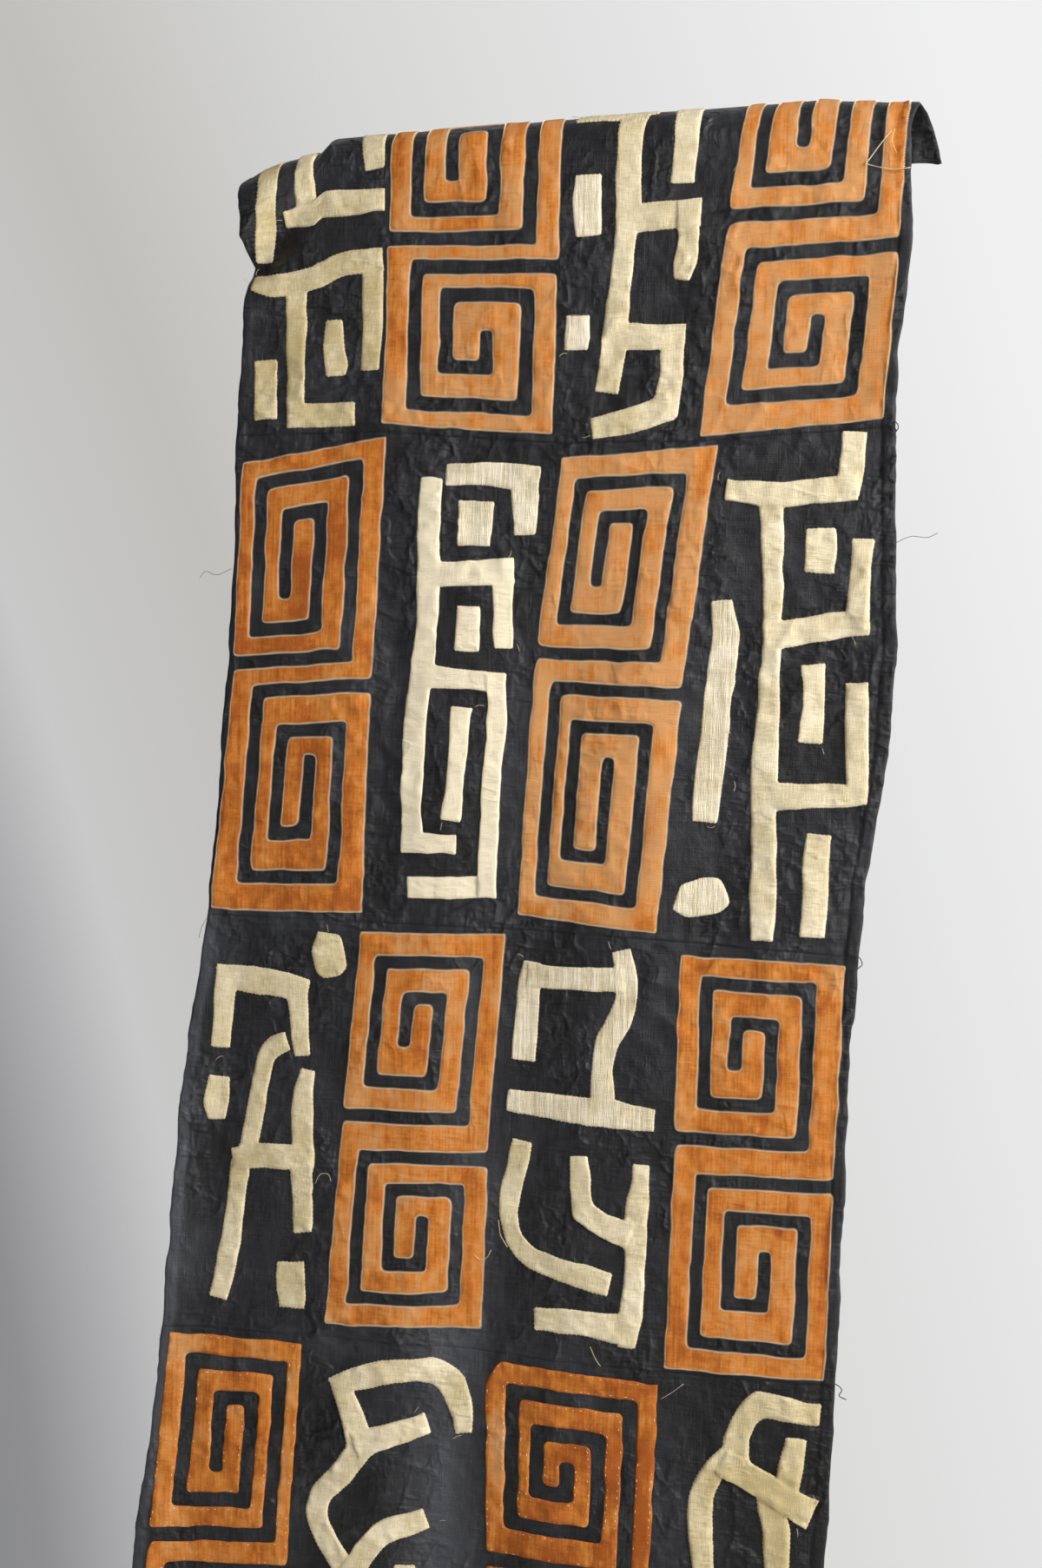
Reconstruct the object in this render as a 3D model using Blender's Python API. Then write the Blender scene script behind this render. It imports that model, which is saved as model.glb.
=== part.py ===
"""Kuba raffia cloth, hung by a fold near its top end.

Four woven panels are sewn end to end. Orange blocks cut as double spirals and cream shapes
are sewn on them. Metres, +Z up, +X to the right, the front faces -Y. The origin is on the
cloth's inner face at the crest of the fold.

Every piece is laid out flat first, in millimetres: x across, s down the cloth (the crest of the
fold is at s = CREST_AT, and less is behind it). The flat piece is thickened and then hung.
"""

import math
from bisect import bisect_right

import bmesh
import bpy
from mathutils import Vector
from mathutils.geometry import delaunay_2d_cdt

MM = 0.001

# Driving sizes
FOLD_RADIUS = 0.0288
CREST_RISE = 0.027
RISE_FADES_AT = 0.5
CREST_AT = 4
TAIL_END_AT = -58
GROUND_THICK = 0.0012
APPLIQUE_THICK = 0.0010
SEWN_GAP = 0.0003
SEAM_GAP = 0.0003
FOLD_LEAN = 0.27
PANEL_COUNT = 4
SAME_POINT = 1e-4
STRAIGHT = 1e-3
SHARP_FROM = 30

# Nearer than this to a seam, in mm, a side edge takes the seam's corner alone
CORNER_CLEAR = 5

# The cloth's two side edges, in mm: s down the cloth, the left edge's x, the right edge's x
EDGES = (
    (-58, -355, 376),
    (0, -353, 360),
    (60, -350, 351),
    (110, -345, 353),
    (150, -331, 355),
    (190, -342, 352),
    (280, -345, 343),
    (340, -348, 345),
    (450, -347, 347),
    (560, -352, 350),
    (660, -358, 345),
    (780, -367, 328),
    (856, -371, 323),
    (950, -387, 316),
    (1060, -399, 315),
    (1160, -406, 313),
    (1292, -415, 312),
    (1400, -426, 308),
    (1500, -439, 305),
    (1600, -448, 303),
    (1741, -456, 299),
)

# Where each cross seam lies, in mm: x across, then s of the first, second and third seam and the hem
SEAMS = (
    (-470, 338, 849, 1296, 1742),
    (-190, 336, 849, 1290, 1738),
    (0, 352, 850, 1291, 1741),
    (150, 353, 854, 1291, 1744),
    (390, 341, 863, 1288, 1740),
)

# How far the crest of the fold sags, most of all at its two ends, in mm: x across, sag, and how far
# down the cloth it is taken up
CREST_SAG = (
    (-400, 52, 170),
    (-356, 46, 170),
    (-330, 31, 170),
    (-300, 21, 170),
    (-264, 16, 170),
    (-250, 1, 60),
    (0, 0, 60),
    (260, 2, 60),
    (310, 8, 60),
    (345, 13, 60),
    (380, 17, 60),
)

# Main folds, each a soft ridge (+) or trough (-): half width, then x, s and height along it, all in mm
FOLDS = {
    "long_trough": (95, ((0, 380, 0), (-8, 520, -6), (-28, 950, -9), (-55, 1290, -12),
    (-85, 1790, -13))),
    "left_roll": (60, ((-378, 840, 0), (-408, 1010, 7), (-425, 1250, 9), (-450, 1790, 9))),
    "right_roll": (50, ((335, 1100, 0), (318, 1290, -5), (306, 1790, -7))),
    "upper_right_wave": (55, ((352, 90, 0), (340, 250, 6), (342, 420, -2), (346, 560, 6),
    (322, 800, -3))),
    "left_slack": (46, ((-285, 45, 0), (-330, 80, 12), (-352, 105, 15))),
    "left_pinch": (26, ((-255, 60, 0), (-292, 112, -7), (-325, 150, -17), (-350, 160, -20))),
    "left_return": (34, ((-285, 200, 0), (-335, 205, 7), (-352, 205, 8))),
    "middle_slack": (70, ((160, 470, 0), (185, 700, -6), (170, 900, -4), (135, 1100, 0))),
    "lower_wave": (110, ((130, 1340, 0), (150, 1560, 9), (150, 1790, 12))),
    "row_two_crease": (45, ((-170, 380, 0), (-172, 600, -5), (-182, 840, -3), (-190, 980, 0))),
}

# Where the cloth may bend, in mm: lines across x, and lines down s
BENDS_ACROSS = (
    -498, -447, -398, -359, -326, -297, -272, -254, -213, -158, -113,
    -67, -26, 18, 63, 119, 176, 232, 288, 333, 398,
)
BENDS_DOWN = (71, 93, 113, 134, 156, 179, 208) + tuple(range(296, 1801, 88))
BENDS_ON_FOLD = 10

# Orange blocks: corners as x, s pairs (top, middle and bottom, left then right), slot width, and
# the run lines of the two slots. A slot enters at an edge; its first number is the s of that run,
# and each next number is the line that the following run keeps, by turns an x and an s.
SPIRALS = {
    "spiral_1a": (
        (-180, -40, 0, -40, -182, 151, 0, 160, -184, 328, -2, 342),
        15,
        (140, -30, -14, -151, 110, -70, 22, -114, 82),
        (169, -151, 311, -31, 198, -117, 272, -74, 233),
    ),
    "spiral_1b": (
        (199, -42, 352, -42, 172, 155, 343, 154, 150, 348, 331, 336),
        14,
        (134, 319, -20, 208, 101, 284, 5, 247, 72),
        (172, 190, 309, 304, 206, 227, 277, 265, 233),
    ),
    "spiral_2a": (
        (-339, 367, -180, 342, -346, 598, -191, 587, -366, 842, -198, 840),
        14.5,
        (574, -215, 380, -320, 541, -252, 419, -289, 509),
        (606, -325, 805, -227, 650, -294, 759, -260, 675),
    ),
    "spiral_2b": (
        (9, 367, 168, 358, -15, 583, 140, 588, -27, 834, 118, 846),
        13,
        (566, 122, 392, 20, 530, 86, 426, 50, 497),
        (602, 2, 812, 98, 639, 26, 771, 62, 668),
    ),
    "spiral_3a": (
        (-197, 859, -40, 855, -214, 1070, -54, 1066, -230, 1277, -57, 1267),
        14,
        (1051, -76, 888, -180, 1014, -112, 925, -146, 977),
        (1093, -194, 1243, -86, 1127, -160, 1206, -124, 1154),
    ),
    "spiral_3b": (
        (144, 867, 309, 869, 142, 1071, 303, 1068, 137, 1286, 299, 1284),
        13.5,
        (1050, 273, 894, 171, 1014, 237, 932, 202, 980),
        (1091, 168, 1257, 274, 1127, 200, 1215, 236, 1159),
    ),
    "spiral_4a": (
        (-406, 1301, -255, 1300, -427, 1545, -267, 1531, -447, 1717, -276, 1712),
        15,
        (1516, -283, 1330, -387, 1479, -313, 1367, -350, 1448),
        (1555, -410, 1688, -300, 1590, -376, 1652, -338, 1616),
    ),
    "spiral_4b": (
        (-51, 1300, 132, 1304, -47, 1532, 125, 1528, -43, 1712, 120, 1714),
        14.5,
        (1508, 102, 1330, -21, 1467, 70, 1368, 6, 1429, 38, 1395),
        (1546, -20, 1682, 92, 1584, 18, 1646, 56, 1612),
    ),
}

# Blocks with their top left corner turned under: how far across and how far down, in mm
TURNED_CORNERS = {"spiral_4b": (16, 22)}

# Cream shapes, each made of strokes that overlap where they join: x, s and width along a stroke
CREAMS = {
    "cream_1a": (((-314, -30, 23), (-316, 30, 23), (-318, 75, 21), (-318, 115, 22), (-321, 146, 18)),),
    "cream_1b": (
        ((-276, -25, 20), (-277, 40, 20), (-274, 88, 24)),
        ((-298, 100, 20), (-270, 95, 28), (-230, 95, 29), (-187, 94, 24)),
    ),
    "cream_1c": (((-203, -30, 26), (-203, 25, 26), (-199, 62, 22)),),
    "cream_1d": (
        ((-333, 172, 20), (-310, 178, 26), (-284, 176, 28), (-260, 170, 25), (-235, 159, 25),
         (-187, 156, 25)),
        ((-199, 146, 24), (-198, 210, 22), (-199, 271, 21)),
        ((-282, 172, 24), (-282, 250, 21), (-281, 330, 20)),
        ((-290, 318, 25), (-214, 317, 25)),
    ),
    "cream_1e": (((-240, 218, 19), (-241, 243, 24), (-237, 265, 26), (-237, 277, 21)),),
    "cream_1f": (((-316, 257, 26), (-315, 321, 26)),),
    "cream_1g": (
        ((13, 13, 28), (60, 14, 30), (97, 8, 26)),
        ((76, 12, 30), (72, 60, 25), (72, 120, 27), (68, 160, 22), (65, 200, 24), (59, 265, 25),
         (53, 303, 24)),
        ((74, 130, 28), (147, 128, 28)),
        ((135, 116, 24), (134, 150, 23), (131, 180, 23), (128, 193, 16)),
        ((62, 247, 27), (133, 250, 26)),
        ((122, 239, 23), (120, 290, 24), (115, 320, 27), (80, 331, 26), (38, 338, 20)),
    ),
    "cream_1h": (((132, -30, 27), (131, 30, 27), (130, 60, 25), (127, 99, 24)),),
    "cream_1i": (((30, 83, 29), (29, 115, 30), (31, 145, 26)),),
    "cream_1j": (((22, 224, 26), (21, 259, 26)),),
    "cream_2a": (
        ((-129, 385, 25), (-132, 430, 25), (-131, 500, 25), (-133, 545, 23), (-136, 585, 27),
         (-142, 635, 25), (-144, 690, 23), (-145, 735, 23), (-144, 775, 24)),
        ((-130, 486, 27), (-38, 481, 27)),
        ((-50, 469, 24), (-50, 530, 22), (-49, 561, 19)),
        ((-136, 590, 26), (-90, 593, 19), (-45, 596, 21)),
        ((-56, 586, 22), (-54, 640, 21), (-58, 690, 21), (-60, 740, 21), (-62, 818, 21)),
        ((-148, 810, 21), (-100, 810, 23), (-52, 806, 21)),
        ((-155, 764, 21), (-95, 764, 21)),
    ),
    "cream_2b": (
        ((-114, 382, 22), (-70, 382, 25), (-15, 388, 28)),
        ((-30, 376, 29), (-30, 410, 29), (-29, 444, 22)),
    ),
    "cream_2c": (((-81, 410, 38), (-83, 456, 34)),),
    "cream_2d": (((-87, 517, 26), (-88, 564, 27)),),
    "cream_2e": (((-92, 621, 23), (-95, 657, 21), (-99, 715, 20), (-102, 740, 22)),),
    "cream_2f": (
        ((224, 410, 26), (226, 450, 23), (227, 490, 21), (228, 560, 20), (226, 620, 22), (224, 680, 26),
         (225, 750, 27), (226, 848, 24)),
        ((177, 401, 21), (230, 407, 25), (270, 403, 24), (309, 400, 27)),
        ((305, 347, 25), (303, 375, 25), (298, 408, 25)),
        ((226, 546, 30), (257, 540, 27), (290, 534, 26), (322, 532, 24)),
        ((316, 450, 22), (313, 484, 21), (311, 540, 24)),
        ((225, 706, 30), (260, 703, 25), (325, 699, 22)),
        ((313, 589, 23), (314, 640, 23), (317, 690, 22), (315, 708, 22)),
    ),
    "cream_2g": (((274, 439, 29), (274, 462, 32), (273, 483, 31)),),
    "cream_2h": (((270, 572, 24), (271, 600, 21), (268, 650, 24)),),
    "cream_2i": (((280, 739, 24), (278, 760, 27), (276, 842, 26)),),
    "cream_2j": (
        ((177, 510, 23), (182, 545, 27), (177, 590, 29), (172, 650, 30), (167, 700, 29),
         (165, 732, 26)),
    ),
    "cream_2k": (((138, 808, 26), (150, 811, 36), (175, 805, 40), (188, 800, 27)),),
    "cream_3a": (
        ((-361, 914, 25), (-325, 915, 29), (-290, 919, 28), (-255, 925, 25)),
        ((-349, 905, 25), (-351, 945, 23), (-354, 991, 22)),
        ((-269, 915, 23), (-265, 950, 22), (-260, 994, 18)),
    ),
    "cream_3b": (
        ((-276, 979, 20), (-290, 984, 22), (-302, 996, 20), (-306, 1020, 20), (-311, 1050, 21),
         (-320, 1095, 20), (-329, 1115, 24), (-334, 1160, 21), (-338, 1197, 23), (-345, 1233, 22),
         (-352, 1260, 20)),
        ((-338, 1108, 22), (-300, 1103, 27), (-247, 1103, 28)),
        ((-254, 1008, 17), (-258, 1035, 24), (-259, 1070, 24), (-257, 1105, 26), (-258, 1140, 24),
         (-256, 1182, 21)),
    ),
    "cream_3c": (((-354, 1021, 23), (-358, 1050, 29), (-357, 1068, 20)),),
    "cream_3d": (((-232, 863, 26), (-234, 880, 37), (-230, 900, 36), (-229, 909, 20)),),
    "cream_3e": (((-270, 1214, 31), (-268, 1240, 35), (-267, 1264, 30)),),
    "cream_3f": (
        ((-10, 882, 18), (-13, 905, 24), (-16, 950, 26), (-18, 985, 26)),
        ((-15, 895, 24), (30, 897, 24), (85, 895, 25)),
        ((82, 864, 20), (89, 890, 24), (89, 915, 24), (82, 938, 26), (70, 960, 24), (65, 985, 22),
         (67, 1025, 26)),
        ((-34, 1027, 24), (20, 1030, 28), (80, 1032, 29), (122, 1036, 23)),
    ),
    "cream_3g": (
        ((-17, 1067, 20), (-21, 1090, 23), (-29, 1120, 21), (-30, 1148, 19), (-24, 1172, 21),
         (-8, 1188, 21), (29, 1198, 24), (78, 1207, 25)),
    ),
    "cream_3h": (
        ((43, 1077, 20), (45, 1110, 23), (49, 1134, 24), (66, 1144, 25), (98, 1156, 28)),
        ((109, 1081, 19), (107, 1110, 21), (104, 1140, 25), (105, 1165, 24), (104, 1200, 22),
         (100, 1240, 25), (98, 1270, 18)),
        ((-1, 1251, 23), (45, 1249, 26), (100, 1252, 32)),
    ),
    "cream_4a": (
        ((-74, 1381, 19), (-77, 1352, 25), (-87, 1327, 30), (-106, 1315, 27), (-130, 1316, 25),
         (-165, 1322, 25), (-200, 1334, 25), (-222, 1344, 20)),
        ((-212, 1336, 24), (-205, 1355, 25), (-193, 1380, 27), (-186, 1404, 28)),
        ((-192, 1402, 28), (-150, 1386, 25), (-112, 1371, 22)),
        ((-182, 1400, 26), (-205, 1432, 26), (-230, 1457, 25), (-236, 1478, 24), (-226, 1503, 25),
         (-198, 1540, 26)),
        ((-199, 1548, 24), (-178, 1512, 25), (-160, 1491, 25), (-136, 1482, 25), (-113, 1474, 22)),
        ((-196, 1530, 28), (-198, 1590, 24), (-205, 1652, 24)),
        ((-217, 1640, 24), (-160, 1644, 25), (-112, 1640, 22)),
    ),
    "cream_4b": (
        ((297, 1319, 22), (260, 1315, 25), (236, 1313, 25), (220, 1328, 24), (212, 1352, 26),
         (213, 1378, 30)),
        ((198, 1374, 28), (240, 1394, 28), (276, 1413, 30), (292, 1420, 33)),
        ((273, 1344, 22), (270, 1370, 25), (262, 1402, 25)),
        ((207, 1367, 24), (190, 1384, 24), (180, 1405, 25), (177, 1435, 27), (182, 1485, 24),
         (184, 1560, 24), (180, 1640, 23)),
        ((247, 1404, 26), (256, 1440, 28), (257, 1490, 25), (258, 1560, 24), (262, 1640, 25)),
    ),
    "cream_4c": (((-136, 1525, 23), (-135, 1560, 25), (-137, 1600, 22)),),
    "cream_4d": (((219, 1540, 24), (220, 1575, 27), (219, 1602, 24)),),
}

# Looks: base colour (linear), roughness
MATERIALS = {
    "black_raffia": ((0.016, 0.016, 0.018), 0.62),
    "orange_raffia": ((0.47, 0.16, 0.035), 0.72),
    "cream_raffia": ((0.60, 0.49, 0.28), 0.75),
    "pale_raffia": ((0.72, 0.63, 0.46), 0.75),
}
PALE = ("cream_1i", "cream_1j", "cream_2b", "cream_2c", "cream_2j", "cream_2k", "cream_3f")


def between(table, at, column=1):
    """The value of a table's column at a place between its rows, whose first column goes up."""
    rows = [row[0] for row in table]
    i = min(max(bisect_right(rows, at) - 1, 0), len(table) - 2)
    share = (at - rows[i]) / (rows[i + 1] - rows[i])
    share = min(max(share, 0.0), 1.0)
    return table[i][column] * (1 - share) + table[i + 1][column] * share


def bump(share):
    """1 at the middle of a fold, falling softly to 0 at its half width."""
    return (1 - share * share) ** 2 if share < 1 else 0.0


def fold_height(x, s):
    """How far the main folds push the cloth out at x, s, all in mm."""
    total = 0.0
    for half_width, line in FOLDS.values():
        nearest = half_width
        height = 0.0
        for (x0, s0, h0), (x1, s1, h1) in zip(line, line[1:]):
            across, down = x1 - x0, s1 - s0
            share = ((x - x0) * across + (s - s0) * down) / (across * across + down * down)
            share = min(max(share, 0.0), 1.0)
            away = math.hypot(x - x0 - share * across, s - s0 - share * down)
            if away < nearest:
                nearest = away
                height = h0 + share * (h1 - h0)
        total += height * bump(nearest / half_width)
    return total


def hung(x, s, lift):
    """The place in metres of a point of the cloth: x, s in mm, lift in metres out from its inner face."""
    path = (s - CREST_AT) * MM
    angle = min(max(path / FOLD_RADIUS, -math.pi / 2), math.pi / 2)
    outward = Vector((0.0, -math.sin(angle), math.cos(angle)))
    past_fold = max(abs(path) - FOLD_RADIUS * math.pi / 2, 0.0)
    height = fold_height(x, s) * MM
    place = Vector((x * MM, 0.0, -FOLD_RADIUS - past_fold)) + outward * (FOLD_RADIUS + lift + height)
    place.x += FOLD_LEAN * height
    place.z += CREST_RISE * x * MM * max(1 - abs(path) / RISE_FADES_AT, 0.0)
    taken_up = max(path, 0.0) / (between(CREST_SAG, x, 2) * MM)
    place.z -= between(CREST_SAG, x) * MM * max(1 - taken_up, 0.0)
    return place


def bend_lines():
    """The lines down the cloth where it may bend, in mm, with close ones round the fold."""
    quarter = FOLD_RADIUS / MM * math.pi / 2
    on_fold = [CREST_AT + quarter * (2 * i / (BENDS_ON_FOLD - 1) - 1) for i in range(BENDS_ON_FOLD)]
    return (TAIL_END_AT - CORNER_CLEAR, *on_fold, *BENDS_DOWN)


DOWN = bend_lines()
CORNERS = {}


def corner(i, j, lift):
    """A crossing of two bend lines, hung at this lift."""
    key = (i, j, lift)
    if key not in CORNERS:
        CORNERS[key] = hung(BENDS_ACROSS[i], DOWN[j], lift)
    return CORNERS[key]


def on_facets(x, s, lift):
    """The same place on the flat facets between the bend lines, so that layers stay an even gap apart."""
    i = min(max(bisect_right(BENDS_ACROSS, x) - 1, 0), len(BENDS_ACROSS) - 2)
    j = min(max(bisect_right(DOWN, s) - 1, 0), len(DOWN) - 2)
    a = (x - BENDS_ACROSS[i]) / (BENDS_ACROSS[i + 1] - BENDS_ACROSS[i])
    b = (s - DOWN[j]) / (DOWN[j + 1] - DOWN[j])
    right_top, left_bottom = corner(i + 1, j, lift), corner(i, j + 1, lift)
    if a + b < 1:
        return corner(i, j, lift) * (1 - a - b) + right_top * a + left_bottom * b
    return corner(i + 1, j + 1, lift) * (a + b - 1) + right_top * (1 - b) + left_bottom * (1 - a)


def union_outline(polygons):
    """The outline, anticlockwise, of flat polygons that overlap."""
    points = [Vector(p) for polygon in polygons for p in polygon]
    faces, start = [], 0
    for polygon in polygons:
        faces.append(list(range(start, start + len(polygon))))
        start += len(polygon)
    verts, _, triangles, _, _, origins = delaunay_2d_cdt(points, [], faces, 1, SAME_POINT)
    following = {}
    for triangle, origin in zip(triangles, origins):
        if origin:
            for a, b in zip(triangle, triangle[1:] + triangle[:1]):
                following[(a, b)] = True
    border = {a: b for a, b in following if (b, a) not in following}
    loop = [next(iter(border))]
    while border[loop[-1]] != loop[0]:
        loop.append(border[loop[-1]])
    if len(loop) != len(border):
        raise ValueError("a sewn-on piece has a hole or two bodies")
    outline = [verts[k] for k in loop]
    after = outline[1:] + outline[:1]
    return [p for k, p in enumerate(outline) if not in_line(outline[k - 1], p, after[k])]


def in_line(before, point, after):
    """Whether a point of an outline lies on the straight line between its neighbours."""
    first, second = point - before, after - point
    return abs(first.x * second.y - first.y * second.x) < STRAIGHT * first.length * second.length


def band_sides(stroke):
    """The two long sides of a band, from x, s and width along its middle."""
    lefts, rights = [], []
    middle = [Vector((x, s)) for x, s, _ in stroke]
    for k, (_, _, width) in enumerate(stroke):
        before = (middle[k] - middle[k - 1]).normalized() if k else None
        after = (middle[k + 1] - middle[k]).normalized() if k + 1 < len(stroke) else None
        before, after = before or after, after or before
        across = Vector((-before.y - after.y, before.x + after.x))
        across *= width / (1 + before.dot(after)) / 2
        lefts.append(middle[k] + across)
        rights.append(middle[k] - across)
    return lefts, rights


def stroke_polygon(stroke):
    """The outline of one stroke of a sewn-on shape."""
    lefts, rights = band_sides(stroke)
    return rights + lefts[::-1]


def spiral_polygon(corners, slot_width, left_slot, right_slot, turned=None):
    """The outline of a block with its two slots cut in, and its turned corner if it has one."""
    tl, tr, ml, mr, bl, br = [Vector(corners[k:k + 2]) for k in range(0, 12, 2)]
    upper = slot_sides(slot_line(left_slot, tl, tr, ml, mr, enters_left=True), slot_width)
    lower = slot_sides(slot_line(right_slot, ml, mr, bl, br, enters_left=False), slot_width)
    top_left = [tl + Vector((0, turned[1])), tl + Vector((turned[0], 0))] if turned else [tl]
    return [*top_left, tr, mr, *lower, br, bl, ml, *upper]


def slot_line(runs, tl, tr, bl, br, enters_left):
    """The middle line of a slot in one half of a block: its run lines lean as the half's sides do."""
    middle_left, middle_right = (tl + bl) / 2, (tr + br) / 2
    top, bottom = (tl + tr) / 2, (bl + br) / 2

    def place(x, s):
        p = (x - middle_left.x) / (middle_right.x - middle_left.x)
        q = (s - top.y) / (bottom.y - top.y)
        return (tl * (1 - p) + tr * p) * (1 - q) + (bl * (1 - p) + br * p) * q

    x, s = (middle_left.x if enters_left else middle_right.x), runs[0]
    line = [place(x, s)]
    for k, run in enumerate(runs[1:]):
        x, s = (run, s) if k % 2 == 0 else (x, run)
        line.append(place(x, s))
    return line


def slot_sides(line, width):
    """The two sides of a slot, from its mouth round its end and back."""
    lefts, rights = band_sides([(p.x, p.y, width) for p in line])
    return lefts + rights[::-1]


def panel_polygon(number):
    """A woven panel between two seams and the cloth's side edges."""
    half_gap = SEAM_GAP / MM / 2
    top = seam_points(number - 1, half_gap) if number > 1 else tail_points()
    bottom = seam_points(number, -half_gap if number < PANEL_COUNT else 0)
    right = edge_points(2, top[-1].y, bottom[-1].y)
    left = edge_points(1, top[0].y, bottom[0].y)
    return [*top, *right, *bottom[::-1], *left[::-1]]


def edge_points(side, top_s, bottom_s):
    """The points of the left (1) or right (2) edge that lie clear between two seams."""
    low, high = top_s + CORNER_CLEAR, bottom_s - CORNER_CLEAR
    return [Vector((row[side], row[0])) for row in EDGES if low < row[0] < high]


def tail_points():
    """The two corners of the short tail behind the fold."""
    return [Vector((EDGES[0][side], TAIL_END_AT)) for side in (1, 2)]


def seam_points(seam, shift):
    """A cross seam from the left edge to the right edge, moved down by a shift in mm."""
    left_s, right_s = [row[seam] + shift for row in (SEAMS[0], SEAMS[-1])]
    inner = [Vector((row[0], row[seam] + shift)) for row in SEAMS[1:-1]]
    left_x, right_x = between(EDGES, left_s, 1), between(EDGES, right_s, 2)
    left_s, right_s = between(SEAMS, left_x, seam) + shift, between(SEAMS, right_x, seam) + shift
    return [Vector((left_x, left_s)), *inner, Vector((right_x, right_s))]


def flat_faces(polygon):
    """The polygon cut into triangles that also break along the bend lines: points and faces."""
    xs = [p.x for p in polygon]
    ss = [p.y for p in polygon]
    first_column, first_row = bisect_right(BENDS_ACROSS, min(xs)) - 1, bisect_right(DOWN, min(ss)) - 1
    columns = range(max(first_column, 0), bisect_right(BENDS_ACROSS, max(xs)) + 1)
    rows = range(max(first_row, 0), bisect_right(DOWN, max(ss)) + 1)
    points = list(polygon)
    index = {}
    for i in columns:
        for j in rows:
            index[i, j] = len(points)
            points.append(Vector((BENDS_ACROSS[i], DOWN[j])))
    lines = []
    for i, j in index:
        for end in ((i + 1, j), (i, j + 1)):
            if end in index:
                lines.append((index[i, j], index[end]))
        if (i + 1, j) in index and (i, j + 1) in index:
            lines.append((index[i + 1, j], index[i, j + 1]))
    whole = [list(range(len(polygon)))]
    verts, _, triangles, _, _, origins = delaunay_2d_cdt(points, lines, whole, 0, SAME_POINT)
    return verts, [t for t, origin in zip(triangles, origins) if origin]


def sewn_piece(name, polygon, inner, outer, material):
    """Lays the polygon out flat, thickens it and hangs it between two lifts from the inner face."""
    verts, triangles = flat_faces(polygon)
    bm = bmesh.new()
    used = {}
    for triangle in triangles:
        for k in triangle:
            if k not in used:
                used[k] = bm.verts.new((verts[k].x, -verts[k].y, 0.0))
        bm.faces.new([used[k] for k in triangle])
    thick = bmesh.ops.extrude_face_region(bm, geom=bm.faces[:])
    raised = [item for item in thick["geom"] if isinstance(item, bmesh.types.BMVert)]
    bmesh.ops.translate(bm, verts=raised, vec=(0.0, 0.0, 1.0))
    bmesh.ops.recalc_face_normals(bm, faces=bm.faces)
    for vert in bm.verts:
        vert.co = on_facets(vert.co.x, -vert.co.y, outer if vert.co.z > 0.5 else inner)
    mesh = bpy.data.meshes.new(name)
    bm.to_mesh(mesh)
    bm.free()
    mesh.shade_smooth()
    mesh.set_sharp_from_angle(angle=math.radians(SHARP_FROM))
    mesh.materials.append(material)
    piece = bpy.data.objects.new(name, mesh)
    bpy.context.scene.collection.objects.link(piece)
    return piece


def make_materials():
    made = {}
    for name, (colour, roughness) in MATERIALS.items():
        material = bpy.data.materials.new(name)
        material.use_nodes = True
        shader = material.node_tree.nodes["Principled BSDF"]
        shader.inputs["Base Color"].default_value = (*colour, 1.0)
        shader.inputs["Roughness"].default_value = roughness
        shader.inputs["Metallic"].default_value = 0.0
        made[name] = material
    return made


def main():
    for old in list(bpy.data.objects):
        bpy.data.objects.remove(old, do_unlink=True)
    materials = make_materials()
    for number in range(1, PANEL_COUNT + 1):
        sewn_piece(f"panel_{number}", panel_polygon(number), 0.0, GROUND_THICK, materials["black_raffia"])
    inner = GROUND_THICK + SEWN_GAP
    outer = inner + APPLIQUE_THICK
    for name, shape in SPIRALS.items():
        polygon = spiral_polygon(*shape, TURNED_CORNERS.get(name))
        sewn_piece(name, polygon, inner, outer, materials["orange_raffia"])
    for name, strokes in CREAMS.items():
        outline = union_outline([stroke_polygon(stroke) for stroke in strokes])
        colour = "pale_raffia" if name in PALE else "cream_raffia"
        sewn_piece(name, outline, inner, outer, materials[colour])


main()
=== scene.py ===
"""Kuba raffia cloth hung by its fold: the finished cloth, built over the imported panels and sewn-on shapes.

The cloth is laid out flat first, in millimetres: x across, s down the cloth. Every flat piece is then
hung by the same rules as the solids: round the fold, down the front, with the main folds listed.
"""

import math

import bpy
import numpy as np
from bpy.props import FloatProperty, FloatVectorProperty, IntProperty, PointerProperty
from bpy.types import Operator, Panel, PropertyGroup
from mathutils import Matrix, Vector
from mathutils.geometry import delaunay_2d_cdt


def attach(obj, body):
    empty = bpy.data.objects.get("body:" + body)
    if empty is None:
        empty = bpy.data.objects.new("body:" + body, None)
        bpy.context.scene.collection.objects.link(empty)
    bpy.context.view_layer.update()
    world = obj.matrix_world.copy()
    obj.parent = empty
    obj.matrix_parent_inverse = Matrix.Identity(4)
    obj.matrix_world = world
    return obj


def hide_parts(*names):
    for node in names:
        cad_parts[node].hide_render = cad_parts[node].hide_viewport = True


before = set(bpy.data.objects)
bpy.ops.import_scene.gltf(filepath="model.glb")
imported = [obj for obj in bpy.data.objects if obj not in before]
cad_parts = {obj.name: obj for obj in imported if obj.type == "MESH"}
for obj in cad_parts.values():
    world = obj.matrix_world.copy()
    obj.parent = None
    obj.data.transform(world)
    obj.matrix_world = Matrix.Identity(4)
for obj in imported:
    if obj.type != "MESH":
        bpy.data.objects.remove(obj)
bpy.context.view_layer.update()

bl_info = {
    "name": "Kuba raffia cloth",
    "version": (1, 0, 0),
    "blender": (4, 5, 0),
    "location": "View3D > Sidebar > Raffia cloth",
    "description": "Builds a hung raffia cloth with sewn-on spiral blocks and cream shapes",
    "category": "Object",
}

MM = 0.001

PANEL_COUNT = 4

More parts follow.
